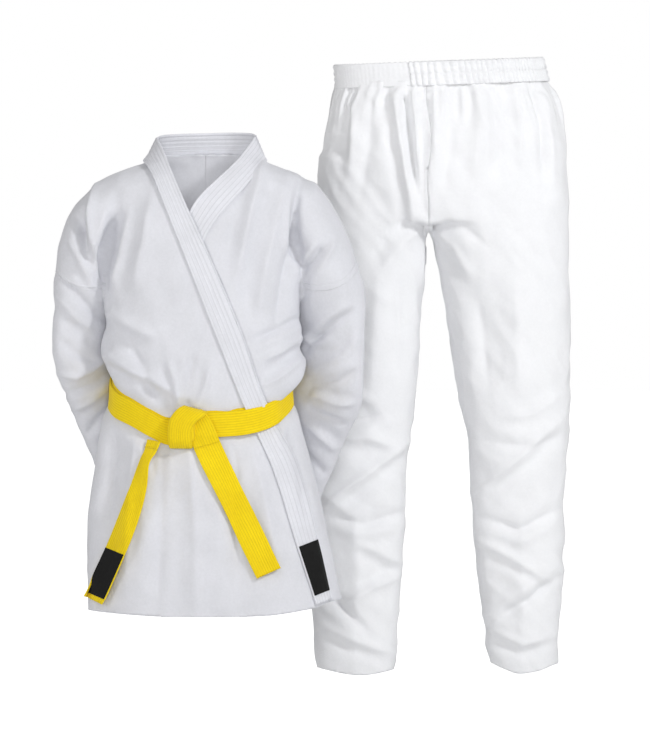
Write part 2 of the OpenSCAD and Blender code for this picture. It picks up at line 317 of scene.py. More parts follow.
def slab(name, top, bottom, material, wrap=False):
    """A closed band between two grids of points [along, across]; wrap joins its ends."""
    rows, columns = top.shape[:2]
    loop = np.concatenate([top, bottom[:, ::-1]], axis=1)
    around = loop.shape[1]
    last, far = (rows - 1) * around, around - 1
    points = loop.reshape(-1, 3).tolist()
    faces = grid_faces(rows, around, True)
    if wrap:
        faces += [(last + c, last + (c + 1) % around, (c + 1) % around, c) for c in range(around)]
    else:
        for c in range(columns - 1):
            faces.append((c + 1, c, far - c, far - c - 1))
            faces.append((last + c, last + c + 1, last + far - c - 1, last + far - c))
    width = np.linalg.norm(np.diff(top, axis=1), axis=2).sum(axis=1).mean()
    along = np.concatenate([[0], np.cumsum(np.linalg.norm(np.diff(top.mean(axis=1), axis=0), axis=1))])
    across = np.linspace(0, width, columns)
    uv = [(across[c] if c < columns else across[2 * columns - 1 - c], along[r])
          for r in range(rows) for c in range(around)]
    return outward_faces(new_object(name, points, faces, material, uv))


def outward_faces(obj):
    work = bmesh.new()
    work.from_mesh(obj.data)
    bmesh.ops.recalc_face_normals(work, faces=work.faces)
    work.to_mesh(obj.data)
    work.free()
    return obj


EDGE_RADIUS, STITCH_REACH = 1.2 * MM, 0.75 * MM


def band_profile(columns, width, thickness, rows, groove):
    """Heights of a band's two faces across its width, with stitched channels and rounded edges."""
    across = np.linspace(0, width, columns)
    from_edge = np.minimum(across, width - across)
    rounding = np.sqrt(np.clip(1 - (1 - np.clip(from_edge / EDGE_RADIUS, 0, 1)) ** 2, 0, 1))
    dip = np.zeros(columns)
    for k in range(rows):
        at = width * (k + 0.7) / (rows + 0.4)
        dip += groove * np.exp(-((across - at) / STITCH_REACH) ** 2)
    half = thickness / 2 * (0.35 + 0.65 * rounding)
    return thickness / 2 + half - dip, thickness / 2 - half + dip


# ---------------------------------------------------------------- materials

class Shader:
    """A short way to build one material out of nodes."""

    def __init__(self, name):
        self.material = bpy.data.materials.new(name)
        self.material.use_nodes = True
        self.tree = self.material.node_tree
        self.surface = self.tree.nodes["Principled BSDF"]

    def add(self, kind, inputs, **settings):
        node = self.tree.nodes.new(kind)
        for key, value in settings.items():
            setattr(node, key, value)
        self.feed(node, inputs)
        return node

    def feed(self, node, inputs):
        for key, value in inputs.items():
            if isinstance(value, bpy.types.NodeSocket):
                self.tree.links.new(value, node.inputs[key])
            else:
                node.inputs[key].default_value = value

    def math(self, operation, a, b=0.0, c=0.0):
        return self.add("ShaderNodeMath", {0: a, 1: b, 2: c}, operation=operation).outputs[0]

    def mix(self, factor, a, b):
        node = self.add("ShaderNodeMix", {0: factor}, data_type="RGBA")
        self.feed(node, {6: a, 7: b})
        return node.outputs[2]

    def noise(self, vector, scale, detail=3.0, roughness=0.55):
        return self.add("ShaderNodeTexNoise", {"Vector": vector, "Scale": scale, "Detail": detail,
                                               "Roughness": roughness}).outputs["Fac"]

    def bump(self, height, distance, strength=1.0, normal=None):
        node = self.add("ShaderNodeBump", {"Height": height, "Distance": distance, "Strength": strength})
        if normal is not None:
            self.feed(node, {"Normal": normal})
        return node.outputs["Normal"]


def cloth_material(name, light, dark, period, crumple, sheen=0.15, rows=0, width=0.0,
                   thread_tone_with_painted_shade=0.74):
    """Woven cloth; with rows it has that many lines of stitches along a strip of that width, drawn darker:
    partly thread, partly painted shade in their grooves.
    """
    s = Shader(name)
    # The stitch colour is the dark cloth colour made darker: the thread's tone together with painted shade of
    # the stitched grooves.
    light, dark, stitch_colour_with_painted_shade = (tuple(colour) + (1,) for colour in (
        light, dark, [value * thread_tone_with_painted_shade for value in dark]))
    place = s.add("ShaderNodeTexCoord", {}).outputs["Object"]
    axes = s.add("ShaderNodeSeparateXYZ", {0: place})
    if rows:
        flat = s.add("ShaderNodeUVMap", {}, uv_map="strip").outputs["UV"]
        strip = s.add("ShaderNodeSeparateXYZ", {0: flat})
        across, along = strip.outputs[0], strip.outputs[1]
    else:
        across = s.math("MULTIPLY_ADD", axes.outputs[1], 0.55, axes.outputs[0])
        along = s.math("MULTIPLY_ADD", axes.outputs[1], 0.3, axes.outputs[2])
    turn = math.pi / period
    weave = s.math("MULTIPLY", s.math("SINE", s.math("MULTIPLY", across, turn)),
                   s.math("SINE", s.math("MULTIPLY", along, turn)))
    slub = s.noise(place, 260.0, 2.0)
    soft = s.noise(place, 17.0, 4.0, 0.6)
    tone = s.math("MULTIPLY_ADD", slub, 0.35, s.math("MULTIPLY", soft, 0.65))
    colour = s.mix(s.add("ShaderNodeMapRange", {0: tone, 1: 0.35, 2: 0.65}).outputs[0], dark, light)
    normal = s.bump(soft, crumple, 0.5)
    normal = s.bump(s.noise(place, 70.0, 3.0), crumple * 0.25, 0.45, normal)
    normal = s.bump(s.math("MULTIPLY_ADD", slub, 0.5, weave), 0.00012, 0.5, normal)
    if rows:
        spacing = width / (rows + 0.4)
        lane = s.math("FRACT", s.math("ADD", s.math("DIVIDE", across, spacing), -0.2))
        near = s.math("ABSOLUTE", s.math("ADD", lane, -0.5))
        line = s.add("ShaderNodeMapRange", {0: near, 1: 0.04, 2: 0.12, 3: 1.0, 4: 0.0}).outputs[0]
        stitch = s.math("GREATER_THAN", s.math("FRACT", s.math("DIVIDE", along, 0.0032)), 0.3)
        thread = s.math("MULTIPLY", line, stitch)
        # Painted shade: each stitch row is darkened along its whole groove, partly as thread and partly as
        # shade.
        colour = s.mix(s.math("MULTIPLY", line, 0.7), colour, stitch_colour_with_painted_shade)
        normal = s.bump(thread, 0.0003, 0.6, normal)
    s.feed(s.surface, {
        "Base Color": colour,
        "Roughness": s.add("ShaderNodeMapRange", {0: tone, 3: 0.82, 4: 0.95}).outputs[0],
        "Normal": normal, "Sheen Weight": sheen, "Sheen Roughness": 0.5, "Specular IOR Level": 0.2})
    return s.material


LAPEL_ROWS, BELT_ROWS = 5, 9
LAPEL_WIDTH, BELT_WIDTH = 37 * MM, 40 * MM
CANVAS = cloth_material("canvas", (0.725, 0.73, 0.77), (0.665, 0.67, 0.705), 1.5 * MM, 0.004)
LAPEL = cloth_material("lapel_canvas", (0.77, 0.775, 0.82), (0.70, 0.705, 0.745), 1.5 * MM, 0.002,
                       rows=LAPEL_ROWS, width=LAPEL_WIDTH, thread_tone_with_painted_shade=0.86)
TROUSER = cloth_material("trouser_canvas", (0.885, 0.89, 0.905), (0.84, 0.845, 0.86), 1.4 * MM, 0.005)
YELLOW = cloth_material("belt_cotton", (0.93, 0.70, 0.008), (0.83, 0.60, 0.007), 1.3 * MM, 0.0008,
                        sheen=0.08, rows=BELT_ROWS, width=BELT_WIDTH)
BLACK = cloth_material("patch_cotton", (0.012, 0.012, 0.012), (0.006, 0.006, 0.006), 1.1 * MM, 0.0005,
                       sheen=0.03)
FLOOR = cloth_material("floor_paper", (0.93, 0.93, 0.935), (0.92, 0.92, 0.925), 3 * MM, 0.0, sheen=0)
ELASTIC = cloth_material("elastic_webbing", (0.78, 0.76, 0.71), (0.66, 0.64, 0.60), 1.2 * MM, 0.0006)


def glow_for_camera(material, strength):
    """Lifts a material towards white for the camera, without lighting anything else."""
    nodes, links = material.node_tree.nodes, material.node_tree.links
    surface = nodes["Principled BSDF"].inputs
    surface["Emission Color"].default_value = (1, 1, 1, 1)
    lit = nodes.new("ShaderNodeMath")
    lit.operation = "MULTIPLY"
    lit.inputs[1].default_value = strength
    links.new(nodes.new("ShaderNodeLightPath").outputs["Is Camera Ray"], lit.inputs[0])
    links.new(lit.outputs[0], surface["Emission Strength"])


glow_for_camera(FLOOR, FLOOR_GLOW)


# ---------------------------------------------------------------- cutting and folding

def ripple(points, stretch, seed):
    """Noise from -1 to 1 at each point; stretch is how many waves a metre holds along each axis."""
    rows = np.asarray(points) * np.asarray(stretch) + seed * 7.31
    return np.array([noise.noise(Vector(row)) for row in rows])


def creases(points, stretch, seed):
    """Like ripple, but with sharp crests and broad hollows, as pressed cotton creases."""
    return 0.6 - 2.4 * np.abs(ripple(points, stretch, seed))


# The drawn widths and heights of all folds are scaled by these.
FOLD_WIDTH, FOLD_GAIN = 0.8, 2.1


def fold_heights(points, folds):
    """Ridges and valleys along lines drawn on the cloth in X and Z; each is (line, width, height, ends)."""
    total = np.zeros(len(points))
    flat = points[:, [0, 2]]
    for line, width, height, ends in folds:
        line = np.array(line, float) * MM
        steps = np.linalg.norm(np.diff(line, axis=0), axis=1)
        starts = np.concatenate([[0], np.cumsum(steps)])
        best = np.full(len(points), 9.0)
        side = np.zeros(len(points))
        along = np.zeros(len(points))
        for a, b, length, start in zip(line[:-1], line[1:], steps, starts):
            way = (b - a) / length
            t = np.clip((flat - a) @ way, 0, length)
            off = flat - (a + t[:, None] * way)
            distance = np.linalg.norm(off, axis=1)
            near = distance < best
            best[near] = distance[near]
            side[near] = np.sign(off[near, 0] * way[1] - off[near, 1] * way[0])
            along[near] = (start + t[near]) / starts[-1]
        signed = best * side / (FOLD_WIDTH * width * MM)
        crest = np.exp(-1.7 * (np.sqrt(signed ** 2 + 0.06) - 0.245))
        hollow = 0.5 * np.exp(-((signed - 1.7) / 1.1) ** 2)
        first, last = ends
        rise = first + (1 - first) * smooth(0, 0.3, along)
        fall = last + (1 - last) * (1 - smooth(0.65, 1, along))
        total += FOLD_GAIN * height * MM * (crest - hollow) * (rise * fall)
    return total


def trimmed(name, mesh, cuts, material, push=None):
    """The part of a skin where every cut is positive, with its rims moved onto the cuts' edges."""
    points = coordinates(mesh)
    inside = np.min([cut(points) for cut in cuts], axis=0) > -0.5 * VOXEL
    used, faces = {}, []
    for polygon in mesh.polygons:
        if all(inside[i] for i in polygon.vertices):
            faces.append([used.setdefault(i, len(used)) for i in polygon.vertices])
    index = np.array(list(used))
    kept = points[index]
    outward = normals(mesh)[index]
    count = {}
    for face in faces:
        for a, b in zip(face, face[1:] + face[:1]):
            key = (min(a, b), max(a, b))
            count[key] = count.get(key, 0) + 1
    rim = np.array(sorted({i for key, n in count.items() if n == 1 for i in key}), int)
    for cut in cuts:
        for _ in range(2):
            here = kept[rim]
            value = cut(here)
            slope = np.stack([(cut(here + shift) - cut(here - shift)) / MM
                              for shift in np.eye(3) * 0.5 * MM], axis=1)
            slope -= outward[rim] * np.sum(slope * outward[rim], axis=1, keepdims=True)
            size = np.maximum(np.sum(slope ** 2, axis=1, keepdims=True), 0.05)
            move = -value[:, None] * slope / size
            near = (np.abs(value) < 1.3 * VOXEL) & (np.linalg.norm(move, axis=1) < 2.5 * VOXEL)
            kept[rim[near]] += move[near]
    if push is not None:
        kept += push(kept)[:, None] * outward
    return new_object(name, kept, faces, material)


# Casts start in front of everything, and a hit this far back has gone through a gap in the front.
CAST_FROM_Y, BACK_Y = -400 * MM, 50 * MM


def lay(tree, x, z):
    """The Y of the skin in front, seen from the front, at each X and Z; gaps are filled from both sides."""
    out = np.zeros(len(x))
    for k, (px, pz) in enumerate(zip(x, z)):
        hit = tree.ray_cast(Vector((px, CAST_FROM_Y, pz)), Vector((0, 1, 0)))[0]
        out[k] = hit.y if hit is not None and hit.y < BACK_Y else np.nan
    good = ~np.isnan(out)
    if not good.all():
        rows = np.arange(len(out))
        out = np.interp(rows, rows[good], out[good]) if good.any() else np.zeros(len(out))
    return out


# ---------------------------------------------------------------- jacket skin

SIGN = {"left": -1, "right": 1}
SHOULDER = {side: Vector(JOINTS[f"{side}_sleeve_lift"]["pos_m"]) for side in SIGN}
SEAM_R = 73.5 * MM
SEAM_Y = 2 * MM
# The middle of the belt on the body's axis, and how much it rises towards the back.
WAIST_Z, BELT_TILT = -392 * MM, 0.61
SQUARENESS = 2 / 2.45

# Half widths to the left and right, and depths to the front and back, by height.
SHOULDER_ROWS = [(-4, 88), (-14, 90), (-21, 95), (-30, 125), (-40, 152), (-50, 166), (-66, 170)]
TORSO_LEFT = table(SHOULDER_ROWS + [
    (-145, 163), (-190, 165), (-227, 158), (-251, 163), (-277, 158), (-314, 166), (-345, 159), (-367, 147),
    (-392, 145), (-415, 156), (-428, 163), (-478, 172), (-560, 185), (-655, 190), (-765, 185)])
TORSO_RIGHT = table(SHOULDER_ROWS + [
    (-145, 152), (-190, 157), (-227, 153), (-277, 153), (-314, 154), (-345, 162), (-362, 152), (-380, 134),
    (-392, 132), (-415, 143), (-428, 150), (-478, 164), (-560, 187), (-655, 206), (-765, 228)])
TORSO_FRONT = table([
    (-4, 52), (-14, 54), (-21, 58), (-30, 66), (-40, 71), (-66, 80), (-113, 88), (-250, 93), (-340, 95),
    (-366, 89), (-392, 87), (-418, 91), (-480, 98), (-562, 104), (-765, 113)])
TORSO_BACK = table([
    (-4, 54), (-14, 55), (-21, 57), (-40, 61), (-113, 66), (-250, 69), (-345, 69), (-366, 65), (-392, 64),
    (-418, 67), (-480, 73), (-562, 77), (-765, 85)])

# The arm of the jacket, from the shoulder to the cuff.
ARM_OUTER = {
    "left": table([(-50, 172), (-66, 190), (-90, 210), (-125, 226), (-164, 237), (-240, 243), (-306, 245),
                   (-369, 237), (-402, 222), (-459, 201), (-504, 182), (-545, 173), (-605, 168)]),
    "right": table([(-46, 172), (-66, 190), (-90, 206), (-113, 219), (-150, 236), (-179, 245), (-225, 258),
                    (-390, 258), (-433, 245), (-478, 224), (-522, 204), (-562, 186), (-605, 174)])}
ARM_INNER = table([(-50, 95), (-120, 118), (-180, 146), (-225, 154), (-260, 152), (-300, 148), (-350, 141),
                   (-400, 136), (-460, 124), (-520, 112), (-605, 98)])
# The middle of the arm and its half depth in Y, and how far its section turns, in thousandths.
ARM_Y = table([(-50, 2), (-200, 5), (-225, 7), (-260, 14), (-300, 24), (-350, 34), (-400, 49), (-460, 75),
               (-520, 95), (-605, 107)])
ARM_D = table([(-50, 42), (-70, 56), (-110, 62), (-200, 60), (-225, 58), (-260, 50), (-300, 44), (-400, 42),
               (-460, 38), (-520, 33), (-605, 30)])
ARM_TURN = table([(-50, 0), (-200, 0), (-225, 120), (-260, 400), (-300, 650), (-350, 700), (-400, 650),
                  (-460, 500), (-520, 300), (-605, 50)])


def torso_point(t, z, off=0.0):
    """A point of the jacket's body; angle 0 is the right side and a quarter turn is the front.

    Near the belt the levels of the outline are tilted with it."""
    c, s = math.cos(t), math.sin(t)
    rough = -s * (float(TORSO_FRONT(z)) if s > 0 else float(TORSO_BACK(z)))
    near = float(smooth(-0.62, -0.47, z) * (1 - smooth(-0.36, -0.2, z)))
    level = z - BELT_TILT * rough * near
    half = (float(TORSO_RIGHT(level)) if c > 0 else float(TORSO_LEFT(level))) + off
    depth = (float(TORSO_FRONT(level)) if s > 0 else float(TORSO_BACK(level))) + off
    return (half * signed_power(c, SQUARENESS), -depth * signed_power(s, SQUARENESS), z)


def arm_point(side):
    """The arm's points by angle and height; angle 0 is the outer side, and the arm leans to the back."""
    def point(t, z):
        closer = 9 * MM * float(smooth(0.2, 0.26, -z)) if side == "right" else 3 * MM
        outer, inner = float(ARM_OUTER[side](z)), float(ARM_INNER(z)) - closer
        half, middle = (outer - inner) / 2, (outer + inner) / 2
        c, s = math.cos(t), math.sin(t)
        turn = float(ARM_TURN(z))
        y = float(ARM_Y(z)) - float(ARM_D(z)) * s - turn * half * c
        return (SIGN[side] * (middle + half * c), y, z)
    return point


# Ridges are positive and valleys negative; ends say how much of the fold is left at each end.
JACKET_FOLDS_FRONT = [
    ([(-176, -52), (-184, -100), (-184, -140), (-172, -190), (-156, -235)], 9, 5.5, (0.3, 0.2)),
    ([(-140, -92), (-152, -130), (-168, -172), (-158, -232)], 11, -7.0, (0.0, 0.1)),
    ([(-118, -80), (-128, -140), (-142, -200), (-138, -262)], 15, 3.8, (0.0, 0.0)),
    ([(-84, -60), (-96, -150), (-118, -240)], 20, 2.8, (0.2, 0.0)),
    ([(-213, -92), (-189, -150), (-171, -208)], 9, -4.4, (0.0, 0.4)),
    ([(-228, -120), (-206, -166), (-180, -214)], 8, 2.4, (0.0, 0.3)),
    ([(153, -51), (143, -100), (141, -140), (158, -192)], 9, -5.2, (0.3, 0.4)),
    ([(92, -24), (72, -105), (48, -225)], 15, 3.6, (0.7, 0.0)),
    ([(125, -60), (97, -177), (80, -290)], 16, 3.8, (0.5, 0.0)),
    ([(150, -110), (128, -200), (112, -300)], 14, -3.4, (0.2, 0.0)),
    ([(72, -306), (106, -292), (150, -272)], 9, -3.4, (0.2, 0.8)),
    ([(84, -338), (120, -322), (158, -300)], 9, 3.0, (0.1, 0.8)),
    ([(190, -150), (176, -170), (158, -190)], 7, -4.4, (0.0, 0.6)),
    ([(214, -128), (198, -168), (176, -206)], 9, 2.2, (0.0, 0.3)),
    ([(-150, -262), (-110, -286), (-70, -300)], 14, 3.6, (0.6, 0.0)),
    ([(-158, -330), (-120, -350), (-82, -368), (-40, -392)], 11, 4.2, (0.7, 0.3)),
    ([(-130, -300), (-100, -345), (-78, -400)], 12, -2.4, (0.0, 0.6)),
    ([(-60, -330), (-46, -372), (-40, -414)], 8, 2.6, (0.0, 0.8)),
    ([(-18, -320), (-24, -366), (-30, -408)], 9, -2.4, (0.0, 0.8)),
    ([(12, -340), (2, -376), (-12, -408)], 9, 2.4, (0.0, 0.8)),
    ([(150, -338), (118, -362), (84, -380)], 10, 3.2, (0.8, 0.2)),
    ([(-146, -430), (-152, -520), (-164, -640)], 16, -2.8, (0.7, 0.0)),
    ([(-112, -468), (-118, -560), (-126, -690)], 17, 2.6, (0.7, 0.2)),
    ([(-66, -486), (-70, -590), (-76, -745)], 19, -2.4, (0.7, 0.3)),
    ([(-22, -486), (-14, -600), (-12, -745)], 20, 2.4, (0.6, 0.4)),
    ([(34, -470), (48, -590), (60, -745)], 20, -2.2, (0.6, 0.3)),
    ([(72, -458), (98, -560), (122, -690)], 15, 2.0, (0.6, 0.1)),
    ([(130, -425), (152, -520), (170, -620)], 12, -2.4, (0.8, 0.0)),
    ([(-96, -456), (-84, -490), (-80, -530)], 8, -2.2, (0.9, 0.0)),
    ([(44, -464), (52, -500), (54, -540)], 8, -1.8, (0.9, 0.0)),
    ([(106, -436), (116, -470), (122, -515)], 8, 1.8, (0.9, 0.0)),
]
JACKET_FOLDS_BACK = [
    ([(-150, -90), (-90, -150), (-30, -200)], 16, 3.0, (0.5, 0.0)),
    ([(150, -95), (96, -160), (36, -215)], 16, 3.0, (0.5, 0.0)),
    ([(-165, -150), (-140, -220), (-110, -300)], 14, -2.6, (0.5, 0.0)),
    ([(165, -150), (140, -220), (112, -300)], 14, -2.6, (0.5, 0.0)),
    ([(-60, -120), (0, -138), (60, -122)], 20, -2.4, (0.0, 0.0)),
    ([(-110, -300), (-96, -340), (-92, -372)], 9, 2.6, (0.0, 0.8)),
    ([(-70, -290), (-58, -335), (-54, -372)], 9, -2.4, (0.0, 0.8)),
    ([(-34, -300), (-24, -340), (-22, -372)], 9, 2.6, (0.0, 0.8)),
    ([(12, -290), (10, -335), (10, -372)], 9, -2.4, (0.0, 0.8)),
    ([(44, -300), (42, -340), (40, -372)], 9, 2.6, (0.0, 0.8)),
    ([(92, -300), (82, -340), (78, -372)], 10, -2.6, (0.0, 0.8)),
    ([(-96, -392), (-104, -500), (-112, -690)], 17, -2.6, (0.7, 0.2)),
    ([(-46, -392), (-48, -520), (-52, -745)], 18, 2.8, (0.7, 0.3)),
    ([(2, -392), (4, -520), (2, -745)], 17, -2.4, (0.7, 0.3)),
    ([(52, -392), (56, -520), (62, -745)], 18, 2.8, (0.7, 0.3)),
    ([(104, -392), (112, -520), (124, -700)], 17, -2.4, (0.7, 0.2)),
]
SLEEVE_FOLDS = [
    ([(-238, -188), (-205, -232), (-163, -272)], 10, -3.6, (0.2, 0.5)),
    ([(-243, -222), (-214, -262), (-172, -300)], 11, 3.0, (0.1, 0.3)),
    ([(-238, -300), (-206, -326), (-172, -344)], 13, -2.6, (0.0, 0.3)),
    ([(-232, -392), (-206, -388), (-176, -376), (-148, -356)], 8, -4.2, (0.2, 0.8)),
    ([(-238, -360), (-208, -366), (-180, -352), (-152, -330)], 9, 3.4, (0.2, 0.6)),
    ([(-214, -420), (-190, -408), (-160, -388)], 9, 3.2, (0.2, 0.5)),
    ([(-196, -470), (-176, -440), (-152, -412)], 10, -2.6, (0.1, 0.4)),
    ([(250, -250), (204, -280), (164, -318)], 9, -4.6, (0.0, 0.6)),
    ([(198, -307), (170, -312), (143, -277)], 9, 2.8, (0.1, 0.5)),
    ([(254, -292), (222, -330), (180, -352)], 12, 2.8, (0.0, 0.3)),
    ([(252, -350), (214, -372), (170, -380)], 11, -3.2, (0.0, 0.5)),
    ([(248, -408), (216, -408), (176, -396)], 9, 3.6, (0.0, 0.6)),
    ([(234, -446), (206, -434), (172, -420)], 9, -3.2, (0.0, 0.5)),
    ([(216, -490), (194, -470), (168, -446)], 10, 2.8, (0.0, 0.4)),
    ([(196, -530), (180, -508), (160, -486)], 10, -2.2, (0.0, 0.3)),
]


def crumpled(mesh, front, back, hold=None, amount=1.0, extra=None):
    """Folds a skin along its drawn lines, with a soft crumple over all of it."""
    points, outward = coordinates(mesh), normals(mesh)
    facing = smooth(-0.35, 0.35, -outward[:, 1])
    height = facing * fold_heights(points, front) + (1 - facing) * fold_heights(points, back)
    height += amount * MM * (3.0 * ripple(points, (14, 14, 5), 1) + 1.6 * creases(points, (13, 13, 8), 2)
                             + 1.0 * creases(points, (30, 30, 20), 3))
    if extra is not None:
        height += extra(points)
    if hold is not None:
        height *= 1 - hold(points)
    set_coordinates(mesh, points + outward * height[:, None])


def belt_level(points):
    """How far a point of the body is above the belt's middle."""
    return points[:, 2] - WAIST_Z - BELT_TILT * points[:, 1]


def belt_hold(points):
    """1 where the belt presses the cloth flat."""
    return 1 - smooth(17 * MM, 40 * MM, np.abs(belt_level(points)))


def arc_distance(side):
    """How far points are outside the circle round a shoulder on which its seam lies."""
    centre = SHOULDER[side]

    def distance(points):
        return np.hypot(points[:, 0] - centre.x, points[:, 2] - centre.z) - SEAM_R
    return distance


def crumpled_skin(name, solids, passes, front, back, **options):
    """One skin round the solids, smoothed, folded and smoothed a little again."""
    skin = remeshed(name, solids)
    relax(skin, passes, 0.6)
    crumpled(skin, front, back, **options)
    relax(skin, 2, 0.5)
    return skin


def front_again(points):
    """The folds on the jacket's front are drawn deeper than those at its sides."""
    return 0.35 * fold_heights(points, JACKET_FOLDS_FRONT) * smooth(0.0, -0.04, points[:, 1])


NECK_LEVELS = [-4, -8, -12, -16, -21, -24, -27, -30, -34, -38, -42, -46, -50, -55, -60, -66]
ARM_TOP_LEVELS = [-50, -54, -60, -66, -72]
AROUND, AROUND_LIMB = 96, 64
solids = [tube(torso_point, NECK_LEVELS + list(range(-74, -766, -8)), AROUND)]
for side in SIGN:
    solids.append(tube(arm_point(side), ARM_TOP_LEVELS + list(range(-80, -241, -8)), AROUND_LIMB))
jacket_skin = crumpled_skin("jacket_skin", solids, SKIN_PASSES, JACKET_FOLDS_FRONT, JACKET_FOLDS_BACK,
                            hold=belt_hold, extra=front_again)

SHOULDER_FOLDS = JACKET_FOLDS_FRONT[:9] + JACKET_FOLDS_FRONT[12:14]
sleeve_skins = {}
for side in SIGN:
    solids = [tube(arm_point(side), range(-150, -606, -7), AROUND_LIMB)]
    sleeve_skins[side] = crumpled_skin(f"{side}_sleeve_skin", solids, SKIN_PASSES,
                                       SHOULDER_FOLDS + SLEEVE_FOLDS, SLEEVE_FOLDS)


# ---------------------------------------------------------------- lapel lines

OVER_OUTER = table([(-765, 188), (-745, 183), (-631, 147), (-507, 108), (-449, 82), (-401, 60), (-300, 20),
                    (-150, -39), (-14, -93)])
OVER_INNER = table([(-765, 215), (-745, 210), (-625, 183), (-496, 146), (-443, 118), (-383, 92), (-306, 66),
                    (-142, -3), (-92, -26), (-14, -60)])
UNDER_OUTER = table([(-765, -126), (-745, -122), (-500, -92), (-383, -58), (-300, -42), (-138, 2), (-44, 77),
                     (-16, 99)])
UNDER_INNER = table([(-765, -164), (-745, -160), (-500, -130), (-383, -95), (-300, -80), (-92, -21),
                     (-13, 55)])


# ---------------------------------------------------------------- cuts

def in_front(points):
    return SEAM_Y - points[:, 1]


def behind(points):
    return points[:, 1] - SEAM_Y


def above_hem(points):
    """The hem curves up at both sides, and more on the right."""
    side = points[:, 0]
    rise = 6 * smooth(0.05, 0.21, np.abs(side)) + 8 * smooth(0.1, 0.21, side) + 9 * smooth(0.17, 0.215, side)
    return points[:, 2] - HEM_Z - rise * MM


def outside_neck(points):
    """Positive outside the hole for the neck, as seen from above, and everywhere below the collar."""
    ring = np.hypot(points[:, 0] / 0.08, points[:, 1] / np.where(points[:, 1] > 0, 0.048, 0.058)) - 1
    return np.minimum(np.maximum(ring * 0.06, -0.06 - points[:, 2]), -9 * MM - points[:, 2])


def without_arms(points):
    """What belongs to the body: inside the two seams, between and above the arms, and all of it below."""
    away = np.minimum(arc_distance("left")(points), arc_distance("right")(points))
    low = -0.25 - points[:, 2]
    return np.maximum.reduce([-away, 0.165 - np.abs(points[:, 0]), points[:, 2] + 0.15, low])


def left_of_lap(points):
    """The over front ends under its lapel."""
    return OVER_INNER(points[:, 2]) - 6 * MM - points[:, 0]


def right_of_under(points):
    """The under front ends under its own lapel."""
    return points[:, 0] - UNDER_INNER(points[:, 2]) - 3 * MM


CLOTH = 1.8 * MM


def tuck_under(points):
    """The under front runs on behind the over front, a little inside it."""
    inside = OVER_INNER(points[:, 2]) + 3 * MM - points[:, 0]
    return -11 * MM * smooth(0, 15 * MM, inside)


BODY_CUTS = [above_hem, outside_neck, without_arms]
over = trimmed("front_over_cloth", jacket_skin, [in_front, *BODY_CUTS, left_of_lap], CANVAS)
under = trimmed("front_under_cloth", jacket_skin, [in_front, *BODY_CUTS, right_of_under], CANVAS,
                push=tuck_under)
backs, sleeves = {}, {}
for side, sign in SIGN.items():
    backs[side] = trimmed(f"back_{side}_cloth", jacket_skin,
                          [behind, *BODY_CUTS, lambda p, s=sign: p[:, 0] * s], CANVAS)
for side in SIGN:
    sleeves[side] = trimmed(f"sleeve_{side}_cloth", sleeve_skins[side],
                            [arc_distance(side), lambda p: p[:, 2] - CUFF_Z], CANVAS)


# ---------------------------------------------------------------- strips laid on the jacket

def mixed(a, b, share):
    return a * (1 - share) + b * share


def joined_tree(*objects):
    """A tree for ray casts on several objects at once."""
    points, faces = [], []
    for obj in objects:
        start = len(points)
        points += [v.co.copy() for v in obj.data.vertices]
        faces += [tuple(start + i for i in p.vertices) for p in obj.data.polygons]
    return BVHTree.FromPolygons(points, faces)


def blurred(grid, passes, axis):
    """A grid with each row or column averaged with its neighbours, and its ends kept."""
    out = np.array(grid, float)
    for _ in range(passes):
        moved = np.moveaxis(out, axis, 0)
        inner = (moved[:-2] + 2 * moved[1:-1] + moved[2:]) / 4
        moved[1:-1] = inner
    return out


def draped_depth(tree, x, z, stiff):
    """Y of a stiff strip that lies on the skin: it spans the hollows and never sinks into a ridge."""
    depth = lay(tree, x.ravel(), z.ravel()).reshape(x.shape)
    front = depth.copy()
    for axis in (0, 1):
        pad = np.take(front, [0] + list(range(front.shape[axis])) + [-1], axis=axis)
        moved = np.moveaxis(pad, axis, 0)
        front = np.moveaxis(np.minimum.reduce([moved[:-2], moved[1:-1], moved[2:]]), 0, axis)
    smoothed = blurred(blurred(front, stiff, 0), 3, 1)
    return np.minimum(smoothed, depth)


def spline(rows, count):
    """Evenly spaced points of a smooth line through the rows."""
    rows = np.array(rows, float)
    padded = np.vstack([2 * rows[0] - rows[1], rows, 2 * rows[-1] - rows[-2]])
    out = []
    for k in range(len(rows) - 1):
        a, b, c, d = padded[k:k + 4]
        for t in np.linspace(0, 1, 12, endpoint=False):
            out.append(0.5 * (2 * b + (c - a) * t + (2 * a - 5 * b + 4 * c - d) * t * t
                              + (3 * b - a - 3 * c + d) * t ** 3))
    out.append(rows[-1])
    out = np.array(out)
    length = np.concatenate([[0], np.cumsum(np.linalg.norm(np.diff(out, axis=0), axis=1))])
    at = np.linspace(0, length[-1], count)
    return np.stack([np.interp(at, length, out[:, k]) for k in range(out.shape[1])], axis=1)


def grid_normals(grid, wrap=False):
    """Unit normals of a grid of points; they point along (across x along)."""
    if wrap:
        along = np.roll(grid, -1, 0) - np.roll(grid, 1, 0)
    else:
        along = np.gradient(grid, axis=0)
    across = np.gradient(grid, axis=1)
    return unit(np.cross(across, along))


def strip_between(name, base, width, thickness, rows, groove, material, lift=0.0, wrap=False):
    """A closed band over a grid of base points, with rows of stitching pressed into both faces."""
    high, low = band_profile(base.shape[1], width, thickness, rows, groove)
    normal = grid_normals(base, wrap)
    top = base + normal * (lift + high)[None, :, None]
    bottom = base + normal * (lift + low)[None, :, None]
    return slab(name, top, bottom, material, wrap)


COLUMNS = detail(21, 41)
STEP = detail(9, 5) * MM
EDGE_TILT = 0.32

